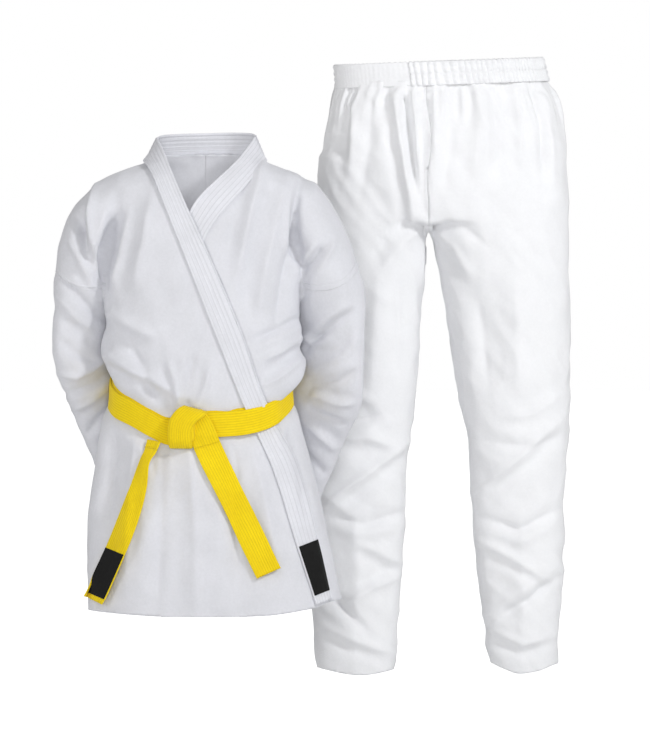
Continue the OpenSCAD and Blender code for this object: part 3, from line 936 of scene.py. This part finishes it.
# The collar from where it leaves the chest on the left, round the back of the neck, to the chest on the
# right: each row is a point of its lower edge and a point of its upper edge.
NECK = np.array([
    [(-91, -45, -27), (-60, -55, -13)],
    [(-98, -14, -19), (-69, -29, 8)],
    [(-94, 12, -17), (-76, -3, 19)],
    [(-78, 36, -15), (-66, 22, 23)],
    [(-42, 53, -13), (-38, 41, 25)],
    [(2, 59, -12), (3, 47, 26)],
    [(46, 54, -12), (42, 41, 27)],
    [(80, 37, -13), (72, 22, 26)],
    [(96, 12, -16), (80, -3, 23)],
    [(99, -14, -18), (72, -29, 10)],
    [(92, -45, -26), (57, -54, -10)]], float) * MM


def laid_edges(tree, outer, inner, levels, stiff, lift, hidden=None):
    """Rows of points from a lapel's outer edge to its inner edge; a hidden one runs behind what covers it."""
    share = np.linspace(0, 1, COLUMNS)[None, :]
    level = np.array(levels)[:, None]
    z = level + EDGE_TILT * (share - 0.5) * np.abs(inner(level) - outer(level))
    x = mixed(outer(z), inner(z), share)
    y = draped_depth(tree, x, z, stiff) - lift
    if hidden is not None:
        edge, cover = hidden
        sunk = smooth(0, 16 * MM, edge(z) - x) * smooth(-0.08, -0.13, z)
        y = y * (1 - sunk) + sunk * (lay(cover, x.ravel(), z.ravel()).reshape(x.shape) + 8 * MM)
    return np.stack([x, y, z], axis=2)


def neck_rows(rows, count):
    """The standing part of the collar between its two edges."""
    edges = spline(rows.reshape(len(rows), 6), count)
    share = np.linspace(0, 1, COLUMNS)[None, :, None]
    return mixed(edges[:, None, :3], edges[:, None, 3:], share)


def collar_strip(laid, neck):
    """A laid lapel that turns smoothly into the standing part of the collar."""
    count, pull = 6, 20 * MM
    near, far = laid[0], neck[0]
    share = np.linspace(0, 1, count + 2)[1:-1, None, None]
    tangent_near = (laid[0] - laid[1]) / STEP * pull
    tangent_far = (neck[1] - neck[0]) / np.linalg.norm(neck[1] - neck[0], axis=1).mean() * pull
    joint = ((2 * share ** 3 - 3 * share ** 2 + 1) * near
             + (share ** 3 - 2 * share ** 2 + share) * tangent_near
             + (-2 * share ** 3 + 3 * share ** 2) * far + (share ** 3 - share ** 2) * tangent_far)
    return np.concatenate([laid[::-1], joint, neck])


lapel_levels = list(np.arange(-0.044, HEM_Z - 1e-6, -STEP))
lapel_levels = [z for z in lapel_levels if z > HEM_Z + 25 * MM] + [HEM_Z + 21 * MM]


def lapel(name, grid, thickness=3.0 * MM, groove=0.5 * MM):
    return strip_between(name, grid, LAPEL_WIDTH, thickness, LAPEL_ROWS, groove, LAPEL)


under_laid = laid_edges(joined_tree(under), UNDER_OUTER, UNDER_INNER, lapel_levels, 2, 0.3 * MM,
                        hidden=(OVER_INNER, joined_tree(over)))
under_grid = collar_strip(under_laid, neck_rows(NECK[:7:-1], 8))
under_lapel = lapel("under_lapel", under_grid[:, ::-1], 2.2 * MM, 0.35 * MM)

over_laid = laid_edges(joined_tree(over, under, under_lapel), OVER_OUTER, OVER_INNER, lapel_levels, 8,
                       0.6 * MM)
over_grid = collar_strip(over_laid, neck_rows(NECK[:3], 8))
over_lapel = lapel("over_lapel", over_grid)
neck_collar = lapel("neck_collar", neck_rows(NECK[2:9], detail(30, 56)))


# ---------------------------------------------------------------- belt

BELT_COLUMNS = detail(19, 37)
TURNS = detail(120, 220)
FAR_OFF, INSIDE = 50 * MM, -20 * MM


def belt_offsets():
    """How far off the body the belt runs at each angle, so that it lies on the lapels and the folds."""
    tree = joined_tree(over, under, under_lapel, over_lapel, *backs.values())
    out = np.zeros(TURNS)
    for k in range(TURNS):
        t = 2 * math.pi * k / TURNS
        level = WAIST_Z + BELT_TILT * torso_point(t, WAIST_Z)[1]
        for v in (-18, -9, 0, 9, 18, 27):
            far = Vector(torso_point(t, level + v * MM, FAR_OFF))
            near = Vector(torso_point(t, level + v * MM, INSIDE))
            hit, _, _, distance = tree.ray_cast(far, (near - far).normalized(), FAR_OFF + 10 * MM)
            if hit is not None:
                out[k] = max(out[k], FAR_OFF * (1 - distance / FAR_OFF))
    reach = 3
    wide = np.max([np.roll(out, s) for s in range(-reach, reach + 1)], axis=0)
    return np.maximum(blurred_ring(wide, 10), out)


OFFSETS = belt_offsets()

# How far the belt's front is pulled up or down from a level turn, by X.
BELT_PULL = table([(-175, 0), (-150, 6), (-121, 11), (-85, 4), (-58, -3), (-34, 3), (-5, 11), (30, 13),
                   (100, 12), (142, 11), (172, 0)])


def belt_strap(name, lift, rise):
    """One turn of the belt; lift is how far it is off the body, and rise how far above the belt's middle."""
    grid = np.zeros((TURNS, BELT_COLUMNS, 3))
    for k in range(TURNS):
        t = 2 * math.pi * k / TURNS
        level = WAIST_Z + BELT_TILT * torso_point(t, WAIST_Z)[1]
        sway = rise + 1.2 * MM * math.sin(3 * t + 0.6)
        for c, v in enumerate(np.linspace(-0.5, 0.5, BELT_COLUMNS)):
            z = level + sway + v * BELT_WIDTH
            lean = 1.2 * MM * (1 - (2 * v) ** 2)
            x, y, _ = torso_point(t, level + v * BELT_WIDTH * 0.4, OFFSETS[k] + lift + lean)
            grid[k, c] = (x, y, z + float(BELT_PULL(x)) * float(smooth(0.02, -0.03, y)))
    return strip_between(name, grid, BELT_WIDTH, 3 * MM, BELT_ROWS, 0.5 * MM, YELLOW, wrap=True)


belt_inner = belt_strap("belt_inner_strap", 0.4 * MM, 3.2 * MM)
belt_outer = belt_strap("belt_outer_strap", 4.2 * MM, 0)

# Each row is a left edge and a right edge in X and Z, then how far each stands off what is behind it.
LEFT_TAIL = [(-90, -463, -69, -466, 2, 13), (-95, -480, -76, -482, 3, 18), (-103, -500, -87, -500, 4, 20),
             (-117, -536, -91, -538, 4, 16), (-134, -580, -103, -586, 4, 13), (-155, -631, -124, -641, 4, 12),
             (-186, -697, -153, -708, 4, 11), (-195, -714, -163, -727, 4, 11)]
KNOT_TAIL = [(-36, -424, -4, -414, 1, 0.5), (-31, -442, 9, -428, 1.5, 1.5), (-24, -460, 18, -447, 2, 2),
             (-18, -474, 24, -462, 2, 2)]
RIGHT_TAIL = [(-18, -474, 24, -462, 2, 2), (-10, -492, 31, -478, 3, 3), (4, -520, 44, -506, 4, 4),
              (26, -563, 66, -552, 4, 5), (55, -624, 96, -611, 4, 5), (84, -684, 122, -667, 5, 5)]


def edge_rows(stations, count):
    """X and Z of a grid between two drawn edges, and the drawn lifts along them."""
    edges = spline(np.array(stations, float) * MM, count)
    share = np.linspace(0, 1, BELT_COLUMNS)[None, :]
    x = mixed(edges[:, 0:1], edges[:, 2:3], share)
    z = mixed(edges[:, 1:2], edges[:, 3:4], share)
    return x, z, edges[:, 4:], share


def strip_grid(stations, tree, count):
    """A free end of the belt, laid at its drawn lifts on what is behind it."""
    x, z, lifts, share = edge_rows(stations, count)
    y = draped_depth(tree, x, z, 24) - mixed(lifts[:, :1], lifts[:, 1:], share)
    return np.stack([x, y, z], axis=2)


def row_at(grid, level):
    """The row of a strip's grid whose middle is nearest to a level."""
    return int(np.argmin(np.abs(grid[:, BELT_COLUMNS // 2, 2] - level)))


def knot_strap(name, grid):
    """A free length of the belt, stitched like the rest."""
    return strip_between(name, grid, BELT_WIDTH, 3.2 * MM, BELT_ROWS, 0.55 * MM, YELLOW)


skirt_tree = joined_tree(over, under, over_lapel, belt_outer)
left_all = strip_grid(LEFT_TAIL, skirt_tree, detail(30, 64))
right_all = strip_grid(KNOT_TAIL[:-1] + RIGHT_TAIL, skirt_tree, detail(40, 84))
left_split, right_split = row_at(left_all, -0.475), row_at(right_all, -0.472)
left_root = knot_strap("knot_left_pass", left_all[:left_split + 1][::-1])
left_tail = knot_strap("belt_end_left", left_all[left_split:][::-1])
knot_tail = knot_strap("knot_under_pass", right_all[:right_split + 1][::-1])
right_tail = knot_strap("belt_end_right", right_all[right_split:][::-1])

# The loop of the knot: left and right edges going up, and how far its front stands off the belt.
LOOP = [(-55, -473.5, -20, -474, 0), (-56, -471, -19, -472, 7), (-57, -462, -21, -464, 13),
        (-57, -448, -22, -450, 15), (-55, -432, -17, -438, 15.5), (-48, -420, -11, -431, 14.5),
        (-41, -413, -2, -425, 11), (-36, -410.5, 3, -422, 6), (-34, -409.5, 5, -420, -1)]


def loop_grid(tree):
    """The loop that holds the knot, over the belt behind it."""
    x, z, lifts, share = edge_rows(LOOP, detail(30, 56))
    behind_y = float(np.median(lay(tree, np.linspace(-0.05, -0.02, 8), np.full(8, -0.44))))
    rounded = 1 - 0.25 * np.abs(2 * share - 1) ** 4
    return np.stack([x, behind_y - lifts * rounded, z], axis=2)


knot_loop = knot_strap("knot_loop", loop_grid(skirt_tree))


def filler(name, centre, size, material):
    """The folded straps inside the knot, as one soft closed lump."""
    rings = []
    for a in np.linspace(-0.5, 0.5, 15)[1:-1] * math.pi:
        reach = signed_power(math.cos(a), 0.45)
        rings.append([(centre[0] + size[0] * reach * signed_power(math.cos(b), 0.5),
                       centre[1] + size[1] * reach * signed_power(math.sin(b), 0.6),
                       centre[2] + size[2] * signed_power(math.sin(a), 0.6))
                      for b in np.linspace(0, 2 * math.pi, 28, endpoint=False)])
    points, faces = closed_tube(np.array(rings))
    return outward_faces(new_object(name, points, faces, material, [(p[0] + 0.1, p[2]) for p in points]))


loop_front = float(min(v.co.y for v in knot_loop.data.vertices))
knot_core = filler("knot_core", (-0.034, loop_front + 0.0115, -0.442), (0.019, 0.0068, 0.026), YELLOW)


def patch_on(name, grid, low, high, inset, off):
    """A plain woven patch sewn on the front of a strip, between two heights."""
    middle = grid.shape[1] // 2
    rows = np.flatnonzero((grid[:, middle, 2] > low) & (grid[:, middle, 2] < high))
    columns = range(inset, grid.shape[1] - inset)
    base = grid[rows[0]:rows[-1] + 1][:, list(columns)]
    normal = grid_normals(base)
    thick = np.full(base.shape[1], 1.0 * MM)
    thick[0] = thick[-1] = 0.6 * MM
    return slab(name, base + normal * (off + thick)[None, :, None], base + normal * off, BLACK)


tail_patch = patch_on("tail_patch", left_all[::-1], -0.716, -0.641, 1, 3.1 * MM)
lapel_patch = patch_on("lapel_end_patch", over_grid, -0.712, -0.628, detail(1, 2), 3.0 * MM)


# ---------------------------------------------------------------- trousers

CROTCH_X = 361 * MM
HIP_LEFT = table([(142, 212), (105, 214), (80, 207), (39, 199), (-45, 187), (-129, 179), (-160, 178)])
HIP_RIGHT = table([(142, 545), (105, 557), (89, 569), (53, 580), (-20, 587), (-142, 592), (-160, 592)])
HIP_DEEP = table([(142, 62), (105, 65), (60, 74), (0, 77), (-110, 75), (-160, 73)])
LEG_EDGES = {
    "left": (table([(0, 184), (-129, 178), (-400, 174), (-600, 171), (-734, 172), (-865, 180)]),
             table([(0, 352), (-129, 358), (-242, 353), (-402, 341), (-543, 327), (-702, 317), (-865, 307)])),
    "right": (table([(0, 366), (-129, 367), (-242, 386), (-393, 409), (-497, 429), (-573, 435),
                     (-702, 444), (-802, 456), (-865, 466)]),
              table([(0, 587), (-142, 592), (-382, 594), (-522, 590), (-642, 584), (-762, 579),
                     (-885, 573)]))}
LEG_DEEP = table([(0, 60), (-129, 71), (-400, 64), (-650, 54), (-865, 44)])


def hip_point(t, z):
    """A point of the hips; the angle runs as on the jacket."""
    left, right, deep = float(HIP_LEFT(z)), float(HIP_RIGHT(z)), float(HIP_DEEP(z))
    x = (left + right) / 2 + (right - left) / 2 * signed_power(math.cos(t), 0.87)
    return (x, TROUSER_Y - deep * signed_power(math.sin(t), 0.87), z)


def trouser_leg_point(side):
    low, high = LEG_EDGES[side]

    def point(t, z):
        a, b, deep = float(low(z)), float(high(z)), float(LEG_DEEP(z))
        sway = 6 * MM * math.sin(z * 7 + (0 if side == "left" else 1.3)) * float(smooth(0.15, 0.4, -z))
        x = (a + b) / 2 + (b - a) / 2 * signed_power(math.cos(t), 0.9)
        return (x, TROUSER_Y + sway - deep * signed_power(math.sin(t), 0.9), z)
    return point


TROUSER_FOLDS_FRONT = [
    ([(320, 84), (328, 30), (340, -50), (349, -96)], 8, -7.5, (0.8, 0.2)),
    ([(336, 92), (340, 40), (346, -40), (350, -90)], 7, 3.2, (0.8, 0.2)),
    ([(350, 84), (351, 20), (353, -60), (355, -104)], 8, -4.2, (0.7, 0.4)),
    ([(368, 96), (372, 40), (370, -30)], 9, 3.0, (0.8, 0.0)),
    ([(306, 84), (312, 20), (330, -70), (340, -170)], 11, 3.6, (0.8, 0.0)),
    ([(268, 70), (262, 0), (250, -90)], 16, -3.2, (0.3, 0.0)),
    ([(238, 84), (240, 20), (232, -50)], 13, 2.6, (0.5, 0.0)),
    ([(400, 86), (396, 10), (384, -90)], 15, -3.2, (0.4, 0.0)),
    ([(432, 92), (440, 30), (436, -60)], 15, 2.6, (0.7, 0.0)),
    ([(466, 92), (474, 30), (478, -50)], 13, -2.8, (0.8, 0.0)),
    ([(500, 94), (510, 40), (514, -40)], 13, 3.0, (0.8, 0.0)),
    ([(530, 94), (546, 40), (550, -50)], 12, -2.8, (0.8, 0.0)),
    ([(548, 80), (562, 10), (566, -80)], 11, 2.4, (0.6, 0.0)),
    ([(358, -120), (320, -150), (280, -196)], 14, 3.2, (0.5, 0.0)),
    ([(362, -124), (404, -160), (440, -222)], 14, 3.2, (0.5, 0.0)),
    ([(362, -110), (420, -128), (470, -170)], 13, -2.6, (0.4, 0.0)),
    ([(280, -170), (272, -300), (262, -430)], 24, 3.0, (0.0, 0.0)),
    ([(310, -180), (316, -290), (306, -380)], 17, -2.6, (0.0, 0.0)),
    ([(500, -170), (506, -300), (512, -430)], 26, 3.0, (0.0, 0.0)),
    ([(440, -230), (452, -330), (462, -430)], 17, -2.6, (0.0, 0.0)),
    ([(184, -372), (230, -400), (292, -414)], 13, 3.0, (0.5, 0.0)),
    ([(188, -430), (236, -444), (306, -430)], 13, -3.0, (0.4, 0.2)),
    ([(212, -476), (256, -470), (318, -486)], 12, 3.0, (0.0, 0.4)),
    ([(190, -585), (230, -552), (280, -515), (330, -478)], 12, 4.6, (0.3, 0.3)),
    ([(196, -598), (258, -612), (326, -592)], 12, -4.4, (0.2, 0.4)),
    ([(578, -400), (530, -430), (470, -438)], 14, 3.0, (0.5, 0.0)),
    ([(574, -470), (526, -486), (452, -476)], 14, -3.0, (0.5, 0.2)),
    ([(440, -560), (505, -505), (576, -445)], 12, 4.6, (0.3, 0.3)),
    ([(450, -600), (508, -622), (576, -588)], 12, -4.8, (0.3, 0.3)),
    ([(450, -640), (508, -672), (572, -712)], 11, 4.6, (0.4, 0.3)),
    ([(574, -700), (525, -735), (466, -772)], 12, -5.4, (0.4, 0.3)),
    ([(466, -786), (516, -808), (566, -794)], 10, 4.0, (0.3, 0.3)),
    ([(240, -640), (280, -656), (322, -684)], 11, 3.6, (0.1, 0.4)),
    ([(322, -694), (270, -714), (222, -744)], 12, 4.2, (0.4, 0.1)),
    ([(180, -712), (226, -752), (272, -798)], 13, -5.2, (0.5, 0.1)),
    ([(184, -776), (240, -802), (304, -824)], 11, 4.0, (0.3, 0.4)),
    ([(240, -560), (246, -680), (240, -840)], 20, 2.4, (0.0, 0.2)),
    ([(512, -560), (516, -690), (514, -840)], 20, 2.4, (0.0, 0.2)),
]
TROUSER_FOLDS_BACK = [
    ([(361, 96), (361, 0), (361, -110)], 7, -5.0, (0.7, 0.5)),
    ([(340, 90), (338, 10), (346, -80)], 12, 3.2, (0.7, 0.0)),
    ([(384, 90), (386, 10), (376, -80)], 12, 3.2, (0.7, 0.0)),
    ([(300, 90), (290, 10), (276, -90)], 15, -2.8, (0.6, 0.0)),
    ([(430, 90), (444, 10), (452, -90)], 15, -2.8, (0.6, 0.0)),
    ([(250, 88), (236, 10), (226, -80)], 14, 2.6, (0.6, 0.0)),
    ([(500, 90), (514, 10), (520, -80)], 14, 2.6, (0.6, 0.0)),
    ([(358, -120), (310, -160), (262, -214)], 15, 3.2, (0.5, 0.0)),
    ([(364, -120), (414, -160), (462, -220)], 15, 3.2, (0.5, 0.0)),
    ([(184, -400), (240, -424), (306, -410)], 13, 3.0, (0.4, 0.0)),
    ([(188, -462), (240, -470), (310, -456)], 13, -3.0, (0.4, 0.0)),
    ([(574, -400), (524, -426), (462, -420)], 13, 3.0, (0.4, 0.0)),
    ([(572, -466), (520, -478), (458, -470)], 13, -3.0, (0.4, 0.0)),
    ([(250, -500), (252, -660), (246, -840)], 22, 2.6, (0.0, 0.2)),
    ([(506, -500), (510, -660), (512, -840)], 22, 2.6, (0.0, 0.2)),
]


def leg_creases(points):
    """Broken folds across the knees and the shins, and fine crumpling over the hips."""
    low = smooth(-0.34, -0.52, points[:, 2])
    slanted = points + np.stack([points[:, 2] * 0.5, points[:, 0] * 0, points[:, 0] * 0.6], axis=1)
    return MM * (low * (3.2 * creases(slanted, (7, 7, 13), 11) + 2.0 * creases(slanted, (17, 17, 22), 12))
                 + (1 - low) * 2.0 * creases(slanted, (24, 24, 17), 13))


def gathers(mesh):
    """Short and long vertical gathers where the cloth runs up into the waistband."""
    points, outward = coordinates(mesh), normals(mesh)
    turn = np.arctan2(points[:, 1] - TROUSER_Y, (points[:, 0] - 0.382) * 0.5) * 0.2
    short = smooth(0.02, 0.1, points[:, 2])
    long = smooth(-0.08, 0.09, points[:, 2])
    wave = np.stack([turn, turn * 0, points[:, 2]], axis=1)
    height = 9 * MM * short * ripple(wave, (70, 1, 4), 5) + 8 * MM * long * ripple(wave, (28, 1, 2.2), 6)
    tucked = smooth(BAND_LOW - 12 * MM, BAND_LOW, points[:, 2])
    height = height * (1 - 0.6 * tucked) + 1.2 * MM * tucked
    set_coordinates(mesh, points + outward * height[:, None])


solids = [tube(hip_point, range(142, -128, -9), AROUND)]
for side in SIGN:
    solids.append(tube(trouser_leg_point(side), range(-10, -887, -9), AROUND_LIMB))
trouser_skin = crumpled_skin("trouser_skin", solids, detail(7, 14), TROUSER_FOLDS_FRONT, TROUSER_FOLDS_BACK,
                             amount=0.9, extra=leg_creases)
gathers(trouser_skin)

TROUSER_HEM = table([(160, 12), (184, 8), (250, -2), (307, 6), (330, 12), (420, 28), (462, 17), (484, 8),
                     (510, 0), (541, 4), (566, 13), (590, 18)])


def above_trouser_hem(points):
    return points[:, 2] - LEG_Z + 12 * MM - TROUSER_HEM(points[:, 0])


def under_band(points):
    return BAND_LOW + 9 * MM - points[:, 2]


def centre_seam(z):
    """X of the trousers' centre seam, which wanders a little above the crotch."""
    return CROTCH_X + 4 * MM * np.sin(z * 38 + 1) * smooth(-0.1, -0.02, z)


def trouser_cuts(sign, front):
    """The cuts of a quarter of the trousers: left or right of the centre seam, and front or back."""
    return [above_trouser_hem, under_band, lambda p: (TROUSER_Y - p[:, 1]) * front,
            lambda p: (p[:, 0] - centre_seam(p[:, 2])) * sign]


trousers = {}
for side, sign in SIGN.items():
    for face, front in (("front", 1), ("back", -1)):
        trousers[side, face] = trimmed(f"trouser_{side}_{face}_cloth", trouser_skin,
                                       trouser_cuts(sign, front), TROUSER)


# ---------------------------------------------------------------- waistband, facings and gusset

BAND_MIDDLE = 378 * MM
BAND_HALF = 165 * MM


def waist_point(turn, height, off):
    """A point of the waistband: turn as on the jacket, height from 0 at its lower edge to 1 at its top."""
    x, y, _ = hip_point(turn, BAND_LOW + 6 * MM + height * 34 * MM)
    out = Vector((x - BAND_MIDDLE, (y - TROUSER_Y) * 2.2, 0)).normalized()
    tilt = 6 * MM * (x - BAND_MIDDLE) / BAND_HALF
    z = BAND_LOW + 2 * MM + height * (WAIST_TOP - BAND_LOW - 4 * MM) + tilt
    return (x + out.x * off, y + out.y * off, z)


def waist_strip(name, turns, count, rows, off, rib, lanes, thickness, material=TROUSER):
    """Part of the waistband; rib is the height of its gathers between the lanes of stitching."""
    first, last = turns
    wrap = last - first > 359
    grid = np.zeros((count, rows, 3))
    for k, turn in enumerate(np.radians(np.linspace(first, last, count, endpoint=not wrap))):
        for c, height in enumerate(np.linspace(0, 1, rows)):
            puff = abs(math.sin(math.pi * height * lanes)) ** 0.6
            sway = 2.6 * noise.noise(Vector((turn * 7, height * 0.8, 9.0)))
            wave = 0.5 * noise.noise(Vector((turn * 44, height * 1.6, 4.0))) + math.sin(turn * 112 + sway)
            grid[k, c] = waist_point(turn, height, off + rib * puff * (0.35 + wave))
    normal = grid_normals(grid, wrap)
    return slab(name, grid + normal * thickness, grid, material, wrap)


# The flat part lies between these angles, and the gathered part runs round the rest.
FLAT_FROM, FLAT_TO, END_GAP = 104, 178, 0.15
BAND_ROWS, INNER_ROWS, INNER_COUNT = detail(9, 19), 7, detail(160, 260)
waist_flat = waist_strip("waist_flat_cloth", (FLAT_FROM, FLAT_TO), detail(60, 110), BAND_ROWS,
                         1.6 * MM, 0.25 * MM, 3, 1.8 * MM)
waist_gathered = waist_strip("waist_gathered_cloth", (FLAT_TO - 360 + END_GAP, FLAT_FROM - END_GAP),
                             detail(420, 900), BAND_ROWS, 1.8 * MM, 2.0 * MM, 4, 1.8 * MM)
waist_elastic = waist_strip("waist_elastic_webbing", (0, 360), INNER_COUNT, INNER_ROWS,
                            0.6 * MM, 0, 1, 1.2 * MM, ELASTIC)
waist_lining = waist_strip("waist_lining_cloth", (0, 360), INNER_COUNT, INNER_ROWS,
                           -2.6 * MM, 0.4 * MM, 3, 1.2 * MM)


FACING = 1.5 * MM


def inner_ring(name, objects, centre, levels, material):
    """A turned-in facing: a ring inside a tube of cloth, a little off it."""
    tree = joined_tree(*objects)
    count, inset = detail(48, 80), CLOTH + 0.5 * MM + FACING
    grid = np.zeros((count, len(levels), 3))
    for k in range(count):
        t = 2 * math.pi * k / count
        way = Vector((math.cos(t), -math.sin(t), 0))
        for c, z in enumerate(levels):
            hit = tree.ray_cast(Vector((centre[0], centre[1], z)), way, 0.3)[0]
            grid[k, c] = hit - way * inset if hit is not None else (np.nan, np.nan, z)
    where = np.arange(count)
    for c in range(len(levels)):
        for axis in (0, 1):
            good = ~np.isnan(grid[:, c, axis])
            grid[:, c, axis] = np.interp(where, where[good], grid[good, c, axis], period=count)
    grid = blurred_ring(grid, 3)
    return slab(name, grid + grid_normals(grid, True) * FACING, grid, material, True)


cuff_facings, leg_facings = {}, {}
for side in SIGN:
    outer, inner = (arm_point(side)(t, CUFF_Z + 20 * MM)[0] for t in (0, math.pi))
    cuff_facings[side] = inner_ring(f"cuff_{side}_turnup", [sleeves[side]],
                                    ((outer + inner) / 2, float(ARM_Y(CUFF_Z + 20 * MM))),
                                    CUFF_Z + np.linspace(2, 38, 9) * MM, CANVAS)
    edges = [float(edge(LEG_Z + 30 * MM)) for edge in LEG_EDGES[side]]
    leg_facings[side] = inner_ring(f"leg_{side}_turnup", [trousers[side, "front"], trousers[side, "back"]],
                                   (sum(edges) / 2, TROUSER_Y), LEG_Z + np.linspace(10, 38, 8) * MM, TROUSER)


def seam_band(side, lift):
    """The sleeve's seam: a narrow topstitched band on a circle round the shoulder, lifted so many mm."""
    tree = joined_tree(sleeves[side], over, under, *backs.values())
    arm, centre, count = arm_point(side), SHOULDER[side], detail(64, 120)
    radii = SEAM_R + np.linspace(-4.5, 4.5, 7) * MM
    grid = np.zeros((count, len(radii), 3))
    for k in range(count):
        t = 2 * math.pi * k / count
        for c, radius in enumerate(radii):
            z = -0.2
            for _ in range(12):
                x, y, _ = arm(t, z)
                z = centre.z - math.sqrt(max(radius ** 2 - min(abs(x - centre.x), radius) ** 2, 1e-6))
            axis = Vector(((arm(0, z)[0] + arm(math.pi, z)[0]) / 2, float(ARM_Y(z)), z))
            way = (Vector((x, y, z)) - axis).normalized()
            hit = tree.ray_cast(axis, way, 0.12)[0]
            place = hit if hit is not None and (hit - axis).length > 20 * MM else Vector((x, y, z))
            grid[k, c] = place + way * lift * MM
    grid = blurred_ring(grid, 2)
    if side == "left":
        grid = grid[:, ::-1]
    return strip_between(f"seam_{side}_band", grid, 9 * MM, 1.3 * MM, 2, 0.4 * MM, CANVAS, wrap=True)


seams = {"left": seam_band("left", 0.4), "right": seam_band("right", 0.8)}


def gusset_cloth():
    """The gusset under the crotch, laid from below and sunk into the cloth at both ends."""
    tree = joined_tree(*trousers.values())
    columns, rows = 9, 31
    grid = np.zeros((rows, columns, 3))
    for r, y in enumerate(np.linspace(-0.058, 0.058, rows)):
        for c, x in enumerate(np.linspace(-0.008, 0.008, columns)):
            hit = tree.ray_cast(Vector((CROTCH_X + x, TROUSER_Y + y, -0.4)), Vector((0, 0, 1)), 0.5)[0]
            grid[r, c] = (CROTCH_X + x, TROUSER_Y + y, hit.z if hit is not None else -0.13)
    middle_z = grid[:, columns // 2, 2:3]
    middle_z = np.minimum(middle_z, np.median(middle_z) + 20 * MM)
    droop = np.clip(middle_z - grid[:, :, 2], 0, 12 * MM)
    grid[:, :, 2] = blurred(middle_z - droop, 4, 0) - 0.8 * MM
    grid[:, :, 2] += 9 * MM * smooth(0.6, 1, np.abs(np.linspace(-1, 1, rows)))[:, None]
    return slab("crotch_gusset_cloth", grid - np.array([0, 0, 1.6 * MM]), grid, TROUSER)


gusset = gusset_cloth()


# ---------------------------------------------------------------- cloth thickness and bodies

for obj in (over, under, *backs.values(), *sleeves.values(), *trousers.values()):
    thicken(obj, CLOTH)

# Where the cloth would bend across a joint: from the first place, which stays, to the second, which turns;
# these places are only listed, and such pieces are baked in place.
SKIRT_BEND = ("jacket", "front_skirt", (0, -0.09, -0.47), (0, -0.09, -0.53))
TAIL_BEND = ((0, -0.1, -0.478), (0, -0.1, -0.53))
LEG_BEND = ((0.4, TROUSER_Y, -0.128), (0.4, TROUSER_Y, -0.25))
SLEEVE_WAY, SLEEVE_BEND_END = Vector((0.4566, 0, -0.8897)), 165 * MM

# Every piece with its slot, the nodes it stands for, and the body it rides on or the joint it bends across.
pieces = [
    (over, "jacket_cloth", ["front_panel_over", "skirt_panel_over", "shoulder_cap_left"], SKIRT_BEND),
    (under, "jacket_cloth", ["front_panel_under", "skirt_panel_under", "shoulder_cap_right"], SKIRT_BEND),
    (over_lapel, "lapel_cloth", ["lapel_over", "skirt_lapel_over"], SKIRT_BEND),
    (under_lapel, "lapel_cloth", ["lapel_under", "skirt_lapel_under"], SKIRT_BEND),
    (lapel_patch, "patch_cloth", ["lapel_patch"], "front_skirt"),
    (neck_collar, "lapel_cloth", ["neck_band"], "jacket"),
    (belt_inner, "belt_cloth", ["belt_inner_wrap"], "jacket"),
    (belt_outer, "belt_cloth", ["belt_outer_wrap"], "jacket"),
    (knot_loop, "belt_cloth", ["belt_knot"], "jacket"),
    (knot_core, "belt_cloth", ["belt_knot"], "jacket"),
    (knot_tail, "belt_cloth", ["belt_knot"], "jacket"),
    (left_root, "belt_cloth", ["belt_knot"], "jacket"),
    (left_tail, "belt_cloth", ["belt_tail_left"], ("front_skirt", "left_tail", *TAIL_BEND)),
    (right_tail, "belt_cloth", ["belt_tail_right"], ("front_skirt", "right_tail", *TAIL_BEND)),
    (tail_patch, "patch_cloth", ["belt_tail_patch"], "left_tail"),
    (waist_flat, "trouser_cloth", ["waistband_flat_front"], "trousers"),
    (waist_gathered, "trouser_cloth", ["waistband_gathered"], "trousers"),
    (waist_elastic, "elastic", ["waist_elastic"], "trousers"),
    (waist_lining, "trouser_cloth", ["waistband_lining"], "trousers"),
    (gusset, "trouser_cloth", ["crotch_gusset"], "trousers")]
for side, sign in SIGN.items():
    shoulder, way = SHOULDER[side], Vector((sign * SLEEVE_WAY.x, 0, SLEEVE_WAY.z))
    sleeve_bend = ("jacket", f"{side}_sleeve", shoulder + way * SEAM_R, shoulder + way * SLEEVE_BEND_END)
    leg_bend = ("trousers", f"{side}_leg", *LEG_BEND)
    pieces += [
        (backs[side], "jacket_cloth", [f"back_panel_{side}"], "jacket"),
        (sleeves[side], "jacket_cloth", [f"sleeve_{side}"], sleeve_bend),
        (seams[side], "jacket_cloth", [f"sleeve_{side}"], sleeve_bend),
        (cuff_facings[side], "jacket_cloth", [f"cuff_facing_{side}"], f"{side}_sleeve"),
        (trousers[side, "front"], "trouser_cloth", [f"hip_front_{side}", f"leg_{side}_front"], leg_bend),
        (trousers[side, "back"], "trouser_cloth", [f"hip_back_{side}", f"leg_{side}_back"], leg_bend),
        (leg_facings[side], "trouser_cloth", [f"leg_{side}_hem_facing"], f"{side}_leg")]
for obj, slot_name, nodes, carrier in pieces:
    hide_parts(*nodes)
    if isinstance(carrier, str):
        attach(obj, carrier)
    else:
        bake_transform(obj)


# ---------------------------------------------------------------- floor

FLOOR_HALF, FLOOR_Z = 14, LEG_Z - 60 * MM
corners = [(x * FLOOR_HALF, y * FLOOR_HALF, FLOOR_Z) for x, y in ((-1, -1), (1, -1), (1, 1), (-1, 1))]
floor = new_object("floor", corners, [(0, 1, 2, 3)], FLOOR)
